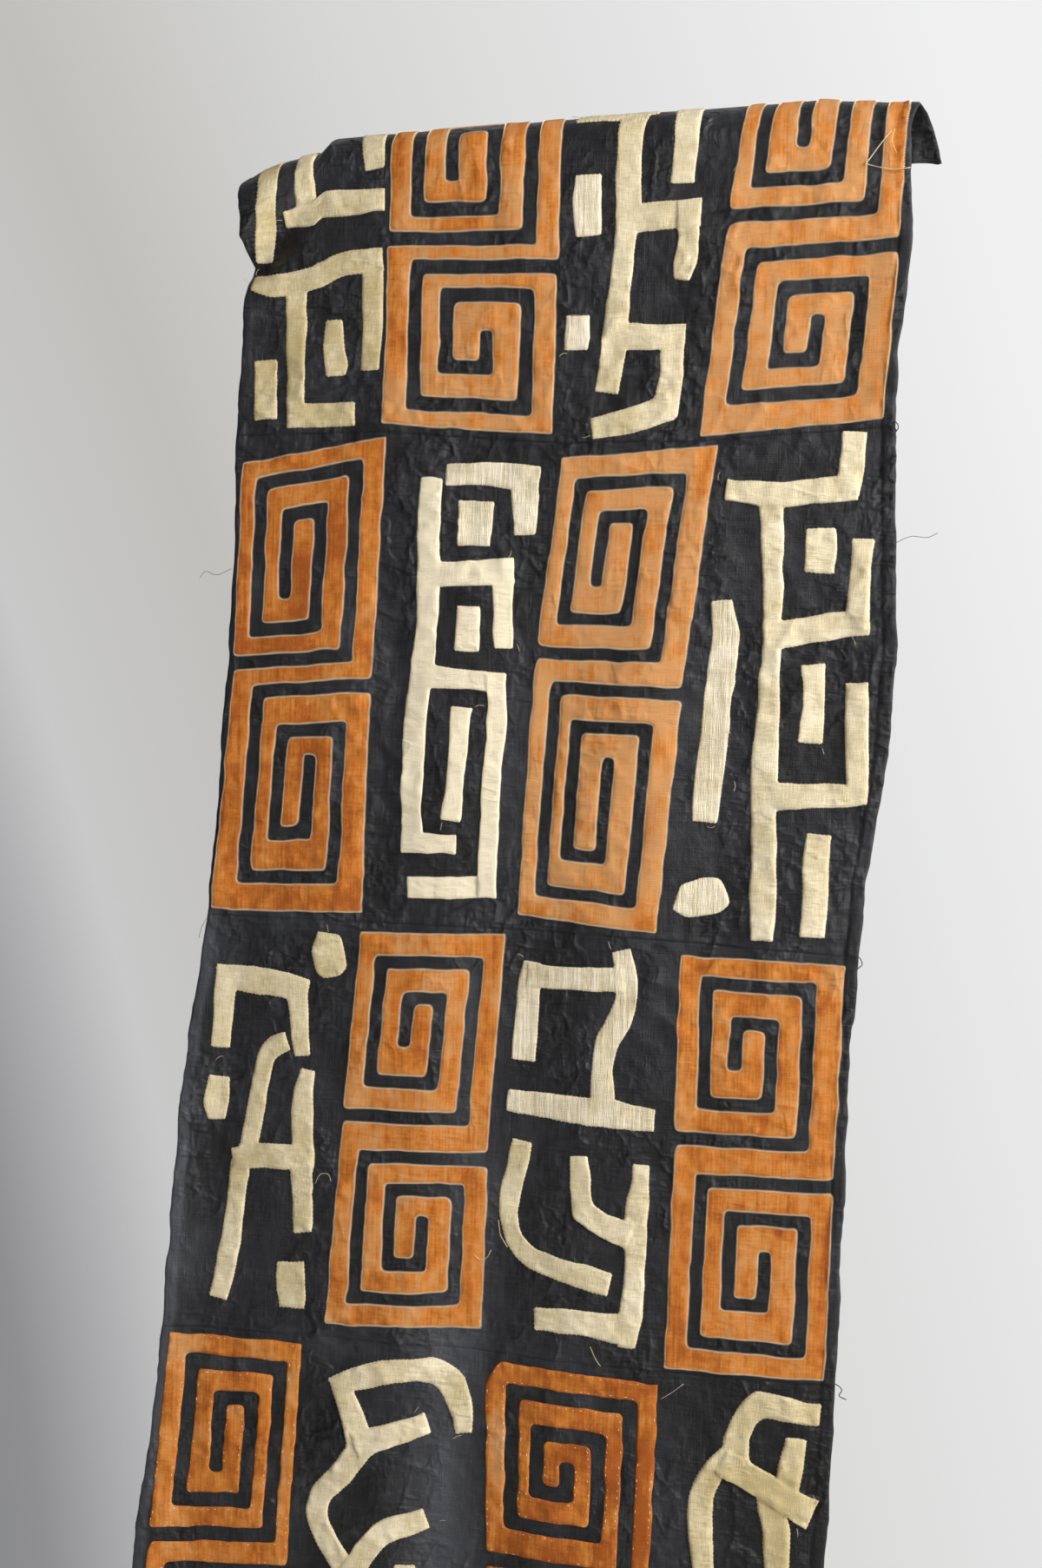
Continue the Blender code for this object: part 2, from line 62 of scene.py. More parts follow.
# The fold over the bar, in metres: its inner radius, how much its crest rises for each metre to the right,
# and how far down the cloth that rise fades out
FOLD_RADIUS = 0.0288
CREST_RISE = 0.027
RISE_FADES_AT = 0.5

# Along the cloth, in mm: the crest of the fold and the end of the tail behind it
CREST_AT = 4
TAIL_END_AT = -58

# How far a main fold shifts the cloth to the right, for each mm that it pushes it out
FOLD_LEAN = 0.27

# Points nearer than this in mm count as one, and a corner flatter than this counts as straight
SAME_POINT = 1e-4
STRAIGHT = 1e-3

# Flat sizes of the sewing, in mm: steps along a cut edge for cloth and for stitches, how high a strip laid
# over its shape stands, and how far apart the tacks of the cream shapes are
CUT_STEP = 2.4
SEWING_STEP = 1.2
STRIP_STEP = 2.0
STRIP_LIFT = 0.8
TACK_PITCH = 4.6

# Heights of a sewn-on shape over its panel, in mm: its edge, the turn of its edge and its flat
EDGE_LIFT = -0.3
TURN_LIFT = 0.75
FLAT_LIFT = 0.9

# Widths of the turned hems, in mm: the left side edge and the lower edge
LEFT_HEM = 11.5
LOWER_HEM = 12

# Thicknesses of the thread ends and loose threads, in metres
FRAYED_THICK = 0.00042
STRAW_THICK = 0.00055
CROSSED_THICK = 0.0009
LOOSE_THICK = 0.0006
KNOT_THICK = 0.0012

# Thread colours
WHITE_THREAD = (0.82, 0.74, 0.60)
STRAW_THREAD = (0.78, 0.62, 0.38)
DARK_THREAD = (0.018, 0.018, 0.02)

# The cloth's two side edges, in mm: s down the cloth, the left edge's x, the right edge's x
EDGES = (
    (-58, -355, 376),
    (0, -353, 360),
    (60, -350, 351),
    (110, -345, 353),
    (150, -331, 355),
    (190, -342, 352),
    (280, -345, 343),
    (340, -348, 345),
    (450, -347, 347),
    (560, -352, 350),
    (660, -358, 345),
    (780, -367, 328),
    (856, -371, 323),
    (950, -387, 316),
    (1060, -399, 315),
    (1160, -406, 313),
    (1292, -415, 312),
    (1400, -426, 308),
    (1500, -439, 305),
    (1600, -448, 303),
    (1741, -456, 299),
)

# Where each cross seam lies, in mm: x across, then s of the first, second and third seam and the hem
SEAMS = (
    (-470, 338, 849, 1296, 1742),
    (-190, 336, 849, 1290, 1738),
    (0, 352, 850, 1291, 1741),
    (150, 353, 854, 1291, 1744),
    (390, 341, 863, 1288, 1740),
)

# How far the crest of the fold sags, most of all at its two ends, in mm: x across, sag, and how far
# down the cloth it is taken up
CREST_SAG = (
    (-400, 52, 170),
    (-356, 46, 170),
    (-330, 31, 170),
    (-300, 21, 170),
    (-264, 16, 170),
    (-250, 1, 60),
    (0, 0, 60),
    (260, 2, 60),
    (310, 8, 60),
    (345, 13, 60),
    (380, 17, 60),
)

# Main folds, each a soft ridge (+) or trough (-): half width, then x, s and height along it, all in mm
FOLDS = {
    "long_trough": (95, ((0, 380, 0), (-8, 520, -6), (-28, 950, -9), (-55, 1290, -12), (-85, 1790, -13))),
    "left_roll": (60, ((-378, 840, 0), (-408, 1010, 7), (-425, 1250, 9), (-450, 1790, 9))),
    "right_roll": (50, ((335, 1100, 0), (318, 1290, -5), (306, 1790, -7))),
    "upper_right_wave": (55, ((352, 90, 0), (340, 250, 6), (342, 420, -2), (346, 560, 6), (322, 800, -3))),
    "left_slack": (46, ((-285, 45, 0), (-330, 80, 12), (-352, 105, 15))),
    "left_pinch": (26, ((-255, 60, 0), (-292, 112, -7), (-325, 150, -17), (-350, 160, -20))),
    "left_return": (34, ((-285, 200, 0), (-335, 205, 7), (-352, 205, 8))),
    "middle_slack": (70, ((160, 470, 0), (185, 700, -6), (170, 900, -4), (135, 1100, 0))),
    "lower_wave": (110, ((130, 1340, 0), (150, 1560, 9), (150, 1790, 12))),
    "row_two_crease": (45, ((-170, 380, 0), (-172, 600, -5), (-182, 840, -3), (-190, 980, 0))),
}

# Orange blocks: corners as x, s pairs (top, middle and bottom, left then right), slot width, and
# the run lines of the two slots. A slot enters at an edge; its first number is the s of that run,
# and each next number is the line that the following run keeps, by turns an x and an s.
SPIRALS = {
    "spiral_1a": (
        (-180, -40, 0, -40, -182, 151, 0, 160, -184, 328, -2, 342),
        15,
        (140, -30, -14, -151, 110, -70, 22, -114, 82),
        (169, -151, 311, -31, 198, -117, 272, -74, 233),
    ),
    "spiral_1b": (
        (199, -42, 352, -42, 172, 155, 343, 154, 150, 348, 331, 336),
        14,
        (134, 319, -20, 208, 101, 284, 5, 247, 72),
        (172, 190, 309, 304, 206, 227, 277, 265, 233),
    ),
    "spiral_2a": (
        (-339, 367, -180, 342, -346, 598, -191, 587, -366, 842, -198, 840),
        14.5,
        (574, -215, 380, -320, 541, -252, 419, -289, 509),
        (606, -325, 805, -227, 650, -294, 759, -260, 675),
    ),
    "spiral_2b": (
        (9, 367, 168, 358, -15, 583, 140, 588, -27, 834, 118, 846),
        13,
        (566, 122, 392, 20, 530, 86, 426, 50, 497),
        (602, 2, 812, 98, 639, 26, 771, 62, 668),
    ),
    "spiral_3a": (
        (-197, 859, -40, 855, -214, 1070, -54, 1066, -230, 1277, -57, 1267),
        14,
        (1051, -76, 888, -180, 1014, -112, 925, -146, 977),
        (1093, -194, 1243, -86, 1127, -160, 1206, -124, 1154),
    ),
    "spiral_3b": (
        (144, 867, 309, 869, 142, 1071, 303, 1068, 137, 1286, 299, 1284),
        13.5,
        (1050, 273, 894, 171, 1014, 237, 932, 202, 980),
        (1091, 168, 1257, 274, 1127, 200, 1215, 236, 1159),
    ),
    "spiral_4a": (
        (-406, 1301, -255, 1300, -427, 1545, -267, 1531, -447, 1717, -276, 1712),
        15,
        (1516, -283, 1330, -387, 1479, -313, 1367, -350, 1448),
        (1555, -410, 1688, -300, 1590, -376, 1652, -338, 1616),
    ),
    "spiral_4b": (
        (-51, 1300, 132, 1304, -47, 1532, 125, 1528, -43, 1712, 120, 1714),
        14.5,
        (1508, 102, 1330, -21, 1467, 70, 1368, 6, 1429, 38, 1395),
        (1546, -20, 1682, 92, 1584, 18, 1646, 56, 1612),
    ),
}

# Blocks with their top left corner turned under: how far across and how far down, in mm
TURNED_CORNERS = {"spiral_4b": (16, 22)}

# Cream shapes, each made of strokes that overlap where they join: x, s and width along a stroke
CREAMS = {
    "cream_1a": (((-314, -30, 23), (-316, 30, 23), (-318, 75, 21), (-318, 115, 22), (-321, 146, 18)),),
    "cream_1b": (
        ((-276, -25, 20), (-277, 40, 20), (-274, 88, 24)),
        ((-298, 100, 20), (-270, 95, 28), (-230, 95, 29), (-187, 94, 24)),
    ),
    "cream_1c": (((-203, -30, 26), (-203, 25, 26), (-199, 62, 22)),),
    "cream_1d": (
        ((-333, 172, 20), (-310, 178, 26), (-284, 176, 28), (-260, 170, 25), (-235, 159, 25),
         (-187, 156, 25)),
        ((-199, 146, 24), (-198, 210, 22), (-199, 271, 21)),
        ((-282, 172, 24), (-282, 250, 21), (-281, 330, 20)),
        ((-290, 318, 25), (-214, 317, 25)),
    ),
    "cream_1e": (((-240, 218, 19), (-241, 243, 24), (-237, 265, 26), (-237, 277, 21)),),
    "cream_1f": (((-316, 257, 26), (-315, 321, 26)),),
    "cream_1g": (
        ((13, 13, 28), (60, 14, 30), (97, 8, 26)),
        ((76, 12, 30), (72, 60, 25), (72, 120, 27), (68, 160, 22), (65, 200, 24), (59, 265, 25),
         (53, 303, 24)),
        ((74, 130, 28), (147, 128, 28)),
        ((135, 116, 24), (134, 150, 23), (131, 180, 23), (128, 193, 16)),
        ((62, 247, 27), (133, 250, 26)),
        ((122, 239, 23), (120, 290, 24), (115, 320, 27), (80, 331, 26), (38, 338, 20)),
    ),
    "cream_1h": (((132, -30, 27), (131, 30, 27), (130, 60, 25), (127, 99, 24)),),
    "cream_1i": (((30, 83, 29), (29, 115, 30), (31, 145, 26)),),
    "cream_1j": (((22, 224, 26), (21, 259, 26)),),
    "cream_2a": (
        ((-129, 385, 25), (-132, 430, 25), (-131, 500, 25), (-133, 545, 23), (-136, 585, 27),
         (-142, 635, 25), (-144, 690, 23), (-145, 735, 23), (-144, 775, 24)),
        ((-130, 486, 27), (-38, 481, 27)),
        ((-50, 469, 24), (-50, 530, 22), (-49, 561, 19)),
        ((-136, 590, 26), (-90, 593, 19), (-45, 596, 21)),
        ((-56, 586, 22), (-54, 640, 21), (-58, 690, 21), (-60, 740, 21), (-62, 818, 21)),
        ((-148, 810, 21), (-100, 810, 23), (-52, 806, 21)),
        ((-155, 764, 21), (-95, 764, 21)),
    ),
    "cream_2b": (
        ((-114, 382, 22), (-70, 382, 25), (-15, 388, 28)),
        ((-30, 376, 29), (-30, 410, 29), (-29, 444, 22)),
    ),
    "cream_2c": (((-81, 410, 38), (-83, 456, 34)),),
    "cream_2d": (((-87, 517, 26), (-88, 564, 27)),),
    "cream_2e": (((-92, 621, 23), (-95, 657, 21), (-99, 715, 20), (-102, 740, 22)),),
    "cream_2f": (
        ((224, 410, 26), (226, 450, 23), (227, 490, 21), (228, 560, 20), (226, 620, 22), (224, 680, 26),
         (225, 750, 27), (226, 848, 24)),
        ((177, 401, 21), (230, 407, 25), (270, 403, 24), (309, 400, 27)),
        ((305, 347, 25), (303, 375, 25), (298, 408, 25)),
        ((226, 546, 30), (257, 540, 27), (290, 534, 26), (322, 532, 24)),
        ((316, 450, 22), (313, 484, 21), (311, 540, 24)),
        ((225, 706, 30), (260, 703, 25), (325, 699, 22)),
        ((313, 589, 23), (314, 640, 23), (317, 690, 22), (315, 708, 22)),
    ),
    "cream_2g": (((274, 439, 29), (274, 462, 32), (273, 483, 31)),),
    "cream_2h": (((270, 572, 24), (271, 600, 21), (268, 650, 24)),),
    "cream_2i": (((280, 739, 24), (278, 760, 27), (276, 842, 26)),),
    "cream_2j": (
        ((177, 510, 23), (182, 545, 27), (177, 590, 29), (172, 650, 30), (167, 700, 29),
         (165, 732, 26)),
    ),
    "cream_2k": (((138, 808, 26), (150, 811, 36), (175, 805, 40), (188, 800, 27)),),
    "cream_3a": (
        ((-361, 914, 25), (-325, 915, 29), (-290, 919, 28), (-255, 925, 25)),
        ((-349, 905, 25), (-351, 945, 23), (-354, 991, 22)),
        ((-269, 915, 23), (-265, 950, 22), (-260, 994, 18)),
    ),
    "cream_3b": (
        ((-276, 979, 20), (-290, 984, 22), (-302, 996, 20), (-306, 1020, 20), (-311, 1050, 21),
         (-320, 1095, 20), (-329, 1115, 24), (-334, 1160, 21), (-338, 1197, 23), (-345, 1233, 22),
         (-352, 1260, 20)),
        ((-338, 1108, 22), (-300, 1103, 27), (-247, 1103, 28)),
        ((-254, 1008, 17), (-258, 1035, 24), (-259, 1070, 24), (-257, 1105, 26), (-258, 1140, 24),
         (-256, 1182, 21)),
    ),
    "cream_3c": (((-354, 1021, 23), (-358, 1050, 29), (-357, 1068, 20)),),
    "cream_3d": (((-232, 863, 26), (-234, 880, 37), (-230, 900, 36), (-229, 909, 20)),),
    "cream_3e": (((-270, 1214, 31), (-268, 1240, 35), (-267, 1264, 30)),),
    "cream_3f": (
        ((-10, 882, 18), (-13, 905, 24), (-16, 950, 26), (-18, 985, 26)),
        ((-15, 895, 24), (30, 897, 24), (85, 895, 25)),
        ((82, 864, 20), (89, 890, 24), (89, 915, 24), (82, 938, 26), (70, 960, 24), (65, 985, 22),
         (67, 1025, 26)),
        ((-34, 1027, 24), (20, 1030, 28), (80, 1032, 29), (122, 1036, 23)),
    ),
    "cream_3g": (
        ((-17, 1067, 20), (-21, 1090, 23), (-29, 1120, 21), (-30, 1148, 19), (-24, 1172, 21),
         (-8, 1188, 21), (29, 1198, 24), (78, 1207, 25)),
    ),
    "cream_3h": (
        ((43, 1077, 20), (45, 1110, 23), (49, 1134, 24), (66, 1144, 25), (98, 1156, 28)),
        ((109, 1081, 19), (107, 1110, 21), (104, 1140, 25), (105, 1165, 24), (104, 1200, 22),
         (100, 1240, 25), (98, 1270, 18)),
        ((-1, 1251, 23), (45, 1249, 26), (100, 1252, 32)),
    ),
    "cream_4a": (
        ((-74, 1381, 19), (-77, 1352, 25), (-87, 1327, 30), (-106, 1315, 27), (-130, 1316, 25),
         (-165, 1322, 25), (-200, 1334, 25), (-222, 1344, 20)),
        ((-212, 1336, 24), (-205, 1355, 25), (-193, 1380, 27), (-186, 1404, 28)),
        ((-192, 1402, 28), (-150, 1386, 25), (-112, 1371, 22)),
        ((-182, 1400, 26), (-205, 1432, 26), (-230, 1457, 25), (-236, 1478, 24), (-226, 1503, 25),
         (-198, 1540, 26)),
        ((-199, 1548, 24), (-178, 1512, 25), (-160, 1491, 25), (-136, 1482, 25), (-113, 1474, 22)),
        ((-196, 1530, 28), (-198, 1590, 24), (-205, 1652, 24)),
        ((-217, 1640, 24), (-160, 1644, 25), (-112, 1640, 22)),
    ),
    "cream_4b": (
        ((297, 1319, 22), (260, 1315, 25), (236, 1313, 25), (220, 1328, 24), (212, 1352, 26),
         (213, 1378, 30)),
        ((198, 1374, 28), (240, 1394, 28), (276, 1413, 30), (292, 1420, 33)),
        ((273, 1344, 22), (270, 1370, 25), (262, 1402, 25)),
        ((207, 1367, 24), (190, 1384, 24), (180, 1405, 25), (177, 1435, 27), (182, 1485, 24),
         (184, 1560, 24), (180, 1640, 23)),
        ((247, 1404, 26), (256, 1440, 28), (257, 1490, 25), (258, 1560, 24), (262, 1640, 25)),
    ),
    "cream_4c": (((-136, 1525, 23), (-135, 1560, 25), (-137, 1600, 22)),),
    "cream_4d": (((219, 1540, 24), (220, 1575, 27), (219, 1602, 24)),),
}

# Blocks sewn down with long white running stitches, and the shapes of paler ribbed cloth
RUNNING_SEWN = ("spiral_4a", "spiral_4b")
PALE = ("cream_1i", "cream_1j", "cream_2b", "cream_2c", "cream_2j", "cream_2k", "cream_3f")

# How each block took the dye: 0 is pale and pinkish, 1 is deep
DYE = {
    "spiral_1a": 0.25, "spiral_1b": 0.16, "spiral_2a": 0.74, "spiral_2b": 0.06, "spiral_3a": 0.44,
    "spiral_3b": 0.54, "spiral_4a": 0.60, "spiral_4b": 0.82,
}

# Where the dye lies deeper (+) or paler (-) than in the rest of its block, in mm: x, s, reach across,
# reach down, how much
DYE_PATCHES = (
    (-178, 60, 16, 120, 0.42), (-95, 90, 30, 50, 0.38), (-60, -10, 80, 40, 0.25),
    (-170, 300, 22, 40, -0.25), (-160, 230, 14, 50, 0.30), (-90, 300, 70, 24, -0.22),
    (-90, 215, 40, 40, -0.12), (-12, 90, 10, 70, 0.25), (346, 40, 12, 90, 0.50),
    (210, 20, 16, 60, 0.25), (170, 330, 30, 20, -0.10), (330, 250, 14, 70, 0.16),
    (250, 200, 60, 24, 0.14), (-250, 460, 22, 60, 0.34), (-305, 570, 40, 22, 0.26),
    (-196, 470, 12, 60, -0.22), (-340, 500, 12, 90, 0.20), (-230, 610, 50, 22, -0.16),
    (-260, 700, 20, 60, 0.30), (-280, 830, 80, 14, 0.20), (-15, 835, 30, 16, 0.55),
    (112, 836, 16, 20, 0.60), (155, 375, 14, 24, 0.40), (75, 440, 26, 40, 0.24), (5, 620, 14, 50, 0.20),
    (-200, 900, 14, 60, 0.26), (-120, 980, 30, 40, 0.24), (-70, 1150, 14, 90, 0.22),
    (-150, 1260, 60, 14, -0.20), (-130, 1180, 26, 30, 0.26), (298, 880, 14, 18, -0.55),
    (300, 1180, 12, 90, 0.34), (160, 1120, 14, 60, 0.26), (220, 960, 24, 40, 0.18),
    (150, 1265, 16, 22, 0.30), (230, 1275, 60, 14, 0.10), (-38, 1400, 12, 90, -0.60),
    (110, 1320, 30, 18, 0.10), (45, 1395, 34, 34, 0.22), (112, 1420, 14, 80, 0.50),
    (-290, 150, 46, 24, -0.45), (262, 1425, 30, 40, 0.30), (215, 1400, 30, 30, 0.20),
    (-150, 1400, 16, 60, -0.15), (20, 1500, 60, 22, 0.30), (-390, 1320, 22, 20, -0.30),
    (-330, 1420, 30, 40, 0.20), (-275, 1420, 10, 90, -0.20),
)

# Painted sheen with worn grey (+) and painted shade (-) on the black, in mm: x, s, reach across, reach down,
# how much
WORN_SHEEN_AND_SHADE_PATCHES = (
    (-62, 930, 28, 70, 0.40), (-70, 1120, 28, 120, 0.36), (-85, 1290, 40, 50, 0.55),
    (-95, 1440, 36, 130, 0.62), (-112, 1650, 50, 140, 0.50), (-30, 700, 26, 120, 0.24),
    (-398, 1080, 14, 120, 0.42), (-425, 1330, 16, 160, 0.42), (-370, 880, 26, 40, 0.36),
    (-250, 850, 90, 12, 0.22), (-220, 600, 18, 120, 0.16), (160, 640, 30, 110, 0.16),
    (300, 500, 40, 120, 0.10), (150, 1440, 26, 120, 0.14), (0, -40, 400, 34, -0.40),
    (270, 1480, 90, 220, -0.34), (-200, 1480, 60, 160, -0.12), (-330, 1330, 60, 12, 0.22),
    (240, 860, 90, 12, 0.12), (-390, 1220, 40, 50, 0.26), (-230, 1300, 60, 14, 0.24),
)

# Strokes of a cream shape that are strips of their own, laid over the rest and sewn down
LAID_OVER = {
    "cream_1b": (1,), "cream_1g": (3,), "cream_2a": (4,), "cream_2f": (1,), "cream_3b": (1,),
    "cream_3f": (1,), "cream_3h": (0,), "cream_4a": (2, 4), "cream_4b": (1,),
}

# How deeply a shape is rippled by its sewing, next to 1 for the rest
RIPPLED = {
    "spiral_2b": 1.4, "spiral_4a": 1.45, "spiral_4b": 1.35, "spiral_1a": 1.2, "cream_4a": 2.0,
    "cream_4b": 2.1, "cream_1b": 1.8, "cream_2f": 1.6, "cream_3h": 1.4, "cream_1d": 1.4,
    "cream_3b": 1.4, "cream_4c": 1.7, "cream_4d": 1.7,
}

# How straw-coloured each undyed shape is: 0 is palest
STRAW = {
    "cream_1a": 0.62, "cream_1b": 0.45, "cream_1c": 0.40, "cream_1d": 0.72, "cream_1e": 0.66,
    "cream_1f": 0.70, "cream_1g": 0.36, "cream_1h": 0.20, "cream_1i": 0.10, "cream_1j": 0.05,
    "cream_2a": -0.20, "cream_2b": 0.12, "cream_2c": 0.25, "cream_2d": -0.10, "cream_2e": -0.15,
    "cream_2f": 0.28, "cream_2g": 0.22, "cream_2h": 0.22, "cream_2i": 0.30, "cream_2j": 0.22,
    "cream_2k": 0.25, "cream_3a": 0.42, "cream_3b": 0.45, "cream_3c": 0.40, "cream_3d": 0.62,
    "cream_3e": 0.60, "cream_3f": 0.32, "cream_3g": 0.40, "cream_3h": 0.30, "cream_4a": 0.32,
    "cream_4b": 0.62, "cream_4c": 0.30, "cream_4d": 0.40,
}

# Corners that a hand rounds as it cuts: turn in degrees up to which, and how far from the corner in mm
ROUNDING = ((40, 11), (70, 6), (180, 2.4))
SLOT_ROUNDING = 6.2

# Places that a thread end sticks out, in mm: x, s, direction in degrees (0 is right, 90 is down), length
THREADS = (
    (15, 12, 185, 14), (20, 20, 170, 9), (-206, 218, 2, 13), (22, 224, 190, 6), (12, 262, 200, 8),
    (38, 345, 150, 9), (-337, 172, 240, 9), (-330, 160, 255, 8), (-300, 100, 190, 10),
    (178, 90, 300, 7), (-34, 556, 60, 8), (-80, 596, 220, 12), (-72, 600, 205, 10), (-68, 620, 200, 9),
    (171, 392, 240, 8), (307, 545, 45, 9), (281, 655, 70, 6), (168, 736, 30, 8), (195, 690, 60, 10),
    (-52, 618, 250, 7), (-110, 742, 100, 7), (-45, 468, 320, 8), (184, 640, 350, 7),
    (-233, 861, 260, 8), (-350, 1000, 200, 8), (-330, 1100, 200, 9), (100, 1040, 95, 8),
    (-76, 1383, 170, 9), (-128, 1362, 300, 8), (-98, 1476, 320, 7), (276, 1434, 60, 8),
    (292, 1400, 70, 7), (-20, 878, 250, 7), (72, 864, 240, 8), (108, 1180, 80, 6), (160, 1500, 180, 9),
    (155, 1506, 200, 6),
)

# Longer loose threads, in mm: x, s and how far off the cloth, along each
CROSSED_STRAWS = (
    ((308, 92, 3), (323, 97, 4), (337, 100, 5), (352, 99, 5)),
    ((308, 93, 3), (320, 78, 5), (333, 63, 4)),
)
STRAWS = (
    ((336, 60, 3), (333, 72, 5), (338, 84, 4)),
    ((-242, 1128, 3), (-236, 1116, 5), (-226, 1116, 5), (-224, 1124, 4)),
    ((-40, 1152, 3), (-38, 1168, 4), (-30, 1180, 4)),
    ((-48, 1185, 3), (-52, 1194, 4), (-60, 1196, 4), (-66, 1190, 3)),
    ((135, 1318, 2), (146, 1310, 4), (158, 1300, 4)),
    ((60, 1272, 2), (66, 1282, 4), (72, 1290, 3)),
)
LOOSE_THREADS = (
    ((-350, 480, 2), (-366, 488, 4), (-378, 482, 6), (-384, 490, 6)),
    ((-371, 852, 1), (-376, 862, 3), (-379, 874, 3)),
    ((345, 455, 1), (362, 447, 4), (378, 450, 6), (388, 445, 6)),
)
KNOTS = (
    ((335, 342, 2), (344, 338, 4), (348, 345, 5), (343, 351, 6), (338, 348, 6)),
    ((336, 340, 2), (345, 346, 4), (343, 355, 5)),
    ((314, 862, 2), (323, 858, 4), (327, 866, 5), (321, 871, 6)),
    ((303, 1288, 2), (312, 1284, 4), (320, 1290, 5), (314, 1296, 6), (323, 1299, 5)),
    ((303, 1290, 2), (311, 1294, 4), (309, 1302, 5)),
)


class ClothSettings(PropertyGroup):
    """Sizes of the sheets and stitches"""

    ground_thick: FloatProperty(
        name="Ground thickness", description="Thickness of the woven black cloth",
        default=0.0012, subtype="DISTANCE", unit="LENGTH")
    mesh_step: FloatProperty(
        name="Mesh step", description="Spacing of the mesh on the black cloth",
        default=0.0042, subtype="DISTANCE", unit="LENGTH")
    patch_step: FloatProperty(
        name="Patch mesh step", description="Spacing of the mesh on the sewn-on shapes",
        default=0.0040, subtype="DISTANCE", unit="LENGTH")
    crumple: FloatProperty(
        name="Crumple", description="Height of the small creases",
        default=0.0021, subtype="DISTANCE", unit="LENGTH")
    hem_width: FloatProperty(
        name="Hem width", description="Width of the rolled hem at the right edge",
        default=0.013, subtype="DISTANCE", unit="LENGTH")
    stitch_pitch: FloatProperty(
        name="Overcast pitch", description="Distance between overcast stitches",
        default=0.0021, subtype="DISTANCE", unit="LENGTH")
    stitch_thick: FloatProperty(
        name="Thread thickness", description="Thickness of the sewing thread",
        default=0.00078, subtype="DISTANCE", unit="LENGTH")
    running_pitch: FloatProperty(
        name="Running pitch", description="Distance between running stitches",
        default=0.0078, subtype="DISTANCE", unit="LENGTH")
    seed: IntProperty(name="Seed", description="Which set of small creases and wobbles", default=7)


class DyeSettings(PropertyGroup):
    """Colours of the raffia"""

    black: FloatVectorProperty(
        name="Black", description="Dyed ground",
        default=(0.0040, 0.0037, 0.0039), subtype="COLOR", min=0, max=1)
    # Worn grey of the ground, also the colour of the painted sheen on the black
    black_worn_and_sheen: FloatVectorProperty(
        name="Worn black", description="Ground where the dye is worn grey",
        default=(0.050, 0.052, 0.060), subtype="COLOR", min=0, max=1)
    orange_pale: FloatVectorProperty(
        name="Pale orange", description="Blocks that took little dye",
        default=(0.475, 0.228, 0.083), subtype="COLOR", min=0, max=1)
    orange: FloatVectorProperty(
        name="Orange", description="Usual dye of the blocks",
        default=(0.46, 0.152, 0.020), subtype="COLOR", min=0, max=1)
    orange_deep: FloatVectorProperty(
        name="Deep orange", description="Blocks that took most dye",
        default=(0.28, 0.068, 0.007), subtype="COLOR", min=0, max=1)
    cream: FloatVectorProperty(
        name="Cream", description="Undyed raffia",
        default=(0.665, 0.582, 0.42), subtype="COLOR", min=0, max=1)
    pale: FloatVectorProperty(
        name="Pale ribbed", description="Whiter ribbed raffia",
        default=(0.68, 0.605, 0.465), subtype="COLOR", min=0, max=1)
    thread: FloatVectorProperty(
        name="Thread", description="Sewing thread",
        default=(0.86, 0.73, 0.51), subtype="COLOR", min=0, max=1)


def settings():
    return bpy.context.scene.raffia_cloth


def dyes():
    return bpy.context.scene.raffia_dyes


# Where the cloth lies

def column(table, k):
    return [row[k] for row in table]


def smooth_step(low, high, value):
    share = np.clip((value - low) / (high - low), 0, 1)
    return share * share * (3 - 2 * share)


def soft_noise(x, s, size, seed):
    """Smooth noise from -1 to 1 with bumps of about this size in mm."""
    lattice = np.random.default_rng(seed).uniform(-1, 1, (256, 256))
    u, v = np.asarray(x) / size + 131.7, np.asarray(s) / size + 57.3
    i, j = np.floor(u).astype(int), np.floor(v).astype(int)
    a, b = u - i, v - j
    a, b = a * a * (3 - 2 * a), b * b * (3 - 2 * b)
    i, j = i % 255, j % 255
    top = lattice[i, j] * (1 - a) + lattice[i + 1, j] * a
    low = lattice[i, j + 1] * (1 - a) + lattice[i + 1, j + 1] * a
    return top * (1 - b) + low * b


def crease_noise(x, s, size, seed):
    """Sharp narrow ridges, 0 to 1, that wander over the cloth."""
    return (1 - np.abs(soft_noise(x, s, size, seed))) ** 5


def fold_height(x, s):
    """How far the main folds push the cloth out at x, s, all in mm."""
    total = np.zeros_like(x)
    for half_width, line in FOLDS.values():
        nearest = np.full_like(x, half_width)
        height = np.zeros_like(x)
        for (x0, s0, h0), (x1, s1, h1) in zip(line, line[1:]):
            across, down = x1 - x0, s1 - s0
            share = np.clip(((x - x0) * across + (s - s0) * down) / (across ** 2 + down ** 2), 0, 1)
            away = np.hypot(x - x0 - share * across, s - s0 - share * down)
            closer = away < nearest
            nearest = np.where(closer, away, nearest)
            height = np.where(closer, h0 + share * (h1 - h0), height)
        total += height * (1 - (nearest / half_width) ** 2) ** 2
    return total


def crumple(x, s):
    """Small creases of the limp cloth, in mm, taut at the fold."""
    seed = settings().seed
    slack = 0.25 + 0.75 * smooth_step(20, 90, s)
    lean = x + 0.35 * s
    waves = 0.8 * soft_noise(lean, s * 0.6, 46, seed) + 0.42 * soft_noise(x, s, 19, seed + 1)
    where = smooth_step(-0.2, 0.4, soft_noise(x, s, 120, seed + 2))
    creases = crease_noise(x + 0.6 * s, s - 0.3 * x, 34, seed + 3)
    creases += 0.7 * crease_noise(x - 0.8 * s, s, 27, seed + 4)
    creases += 0.5 * crease_noise(0.5 * x + 0.9 * s, 0.8 * x - 0.4 * s, 21, seed + 5)
    return settings().crumple / MM * slack * (waves + 0.75 * where * creases)


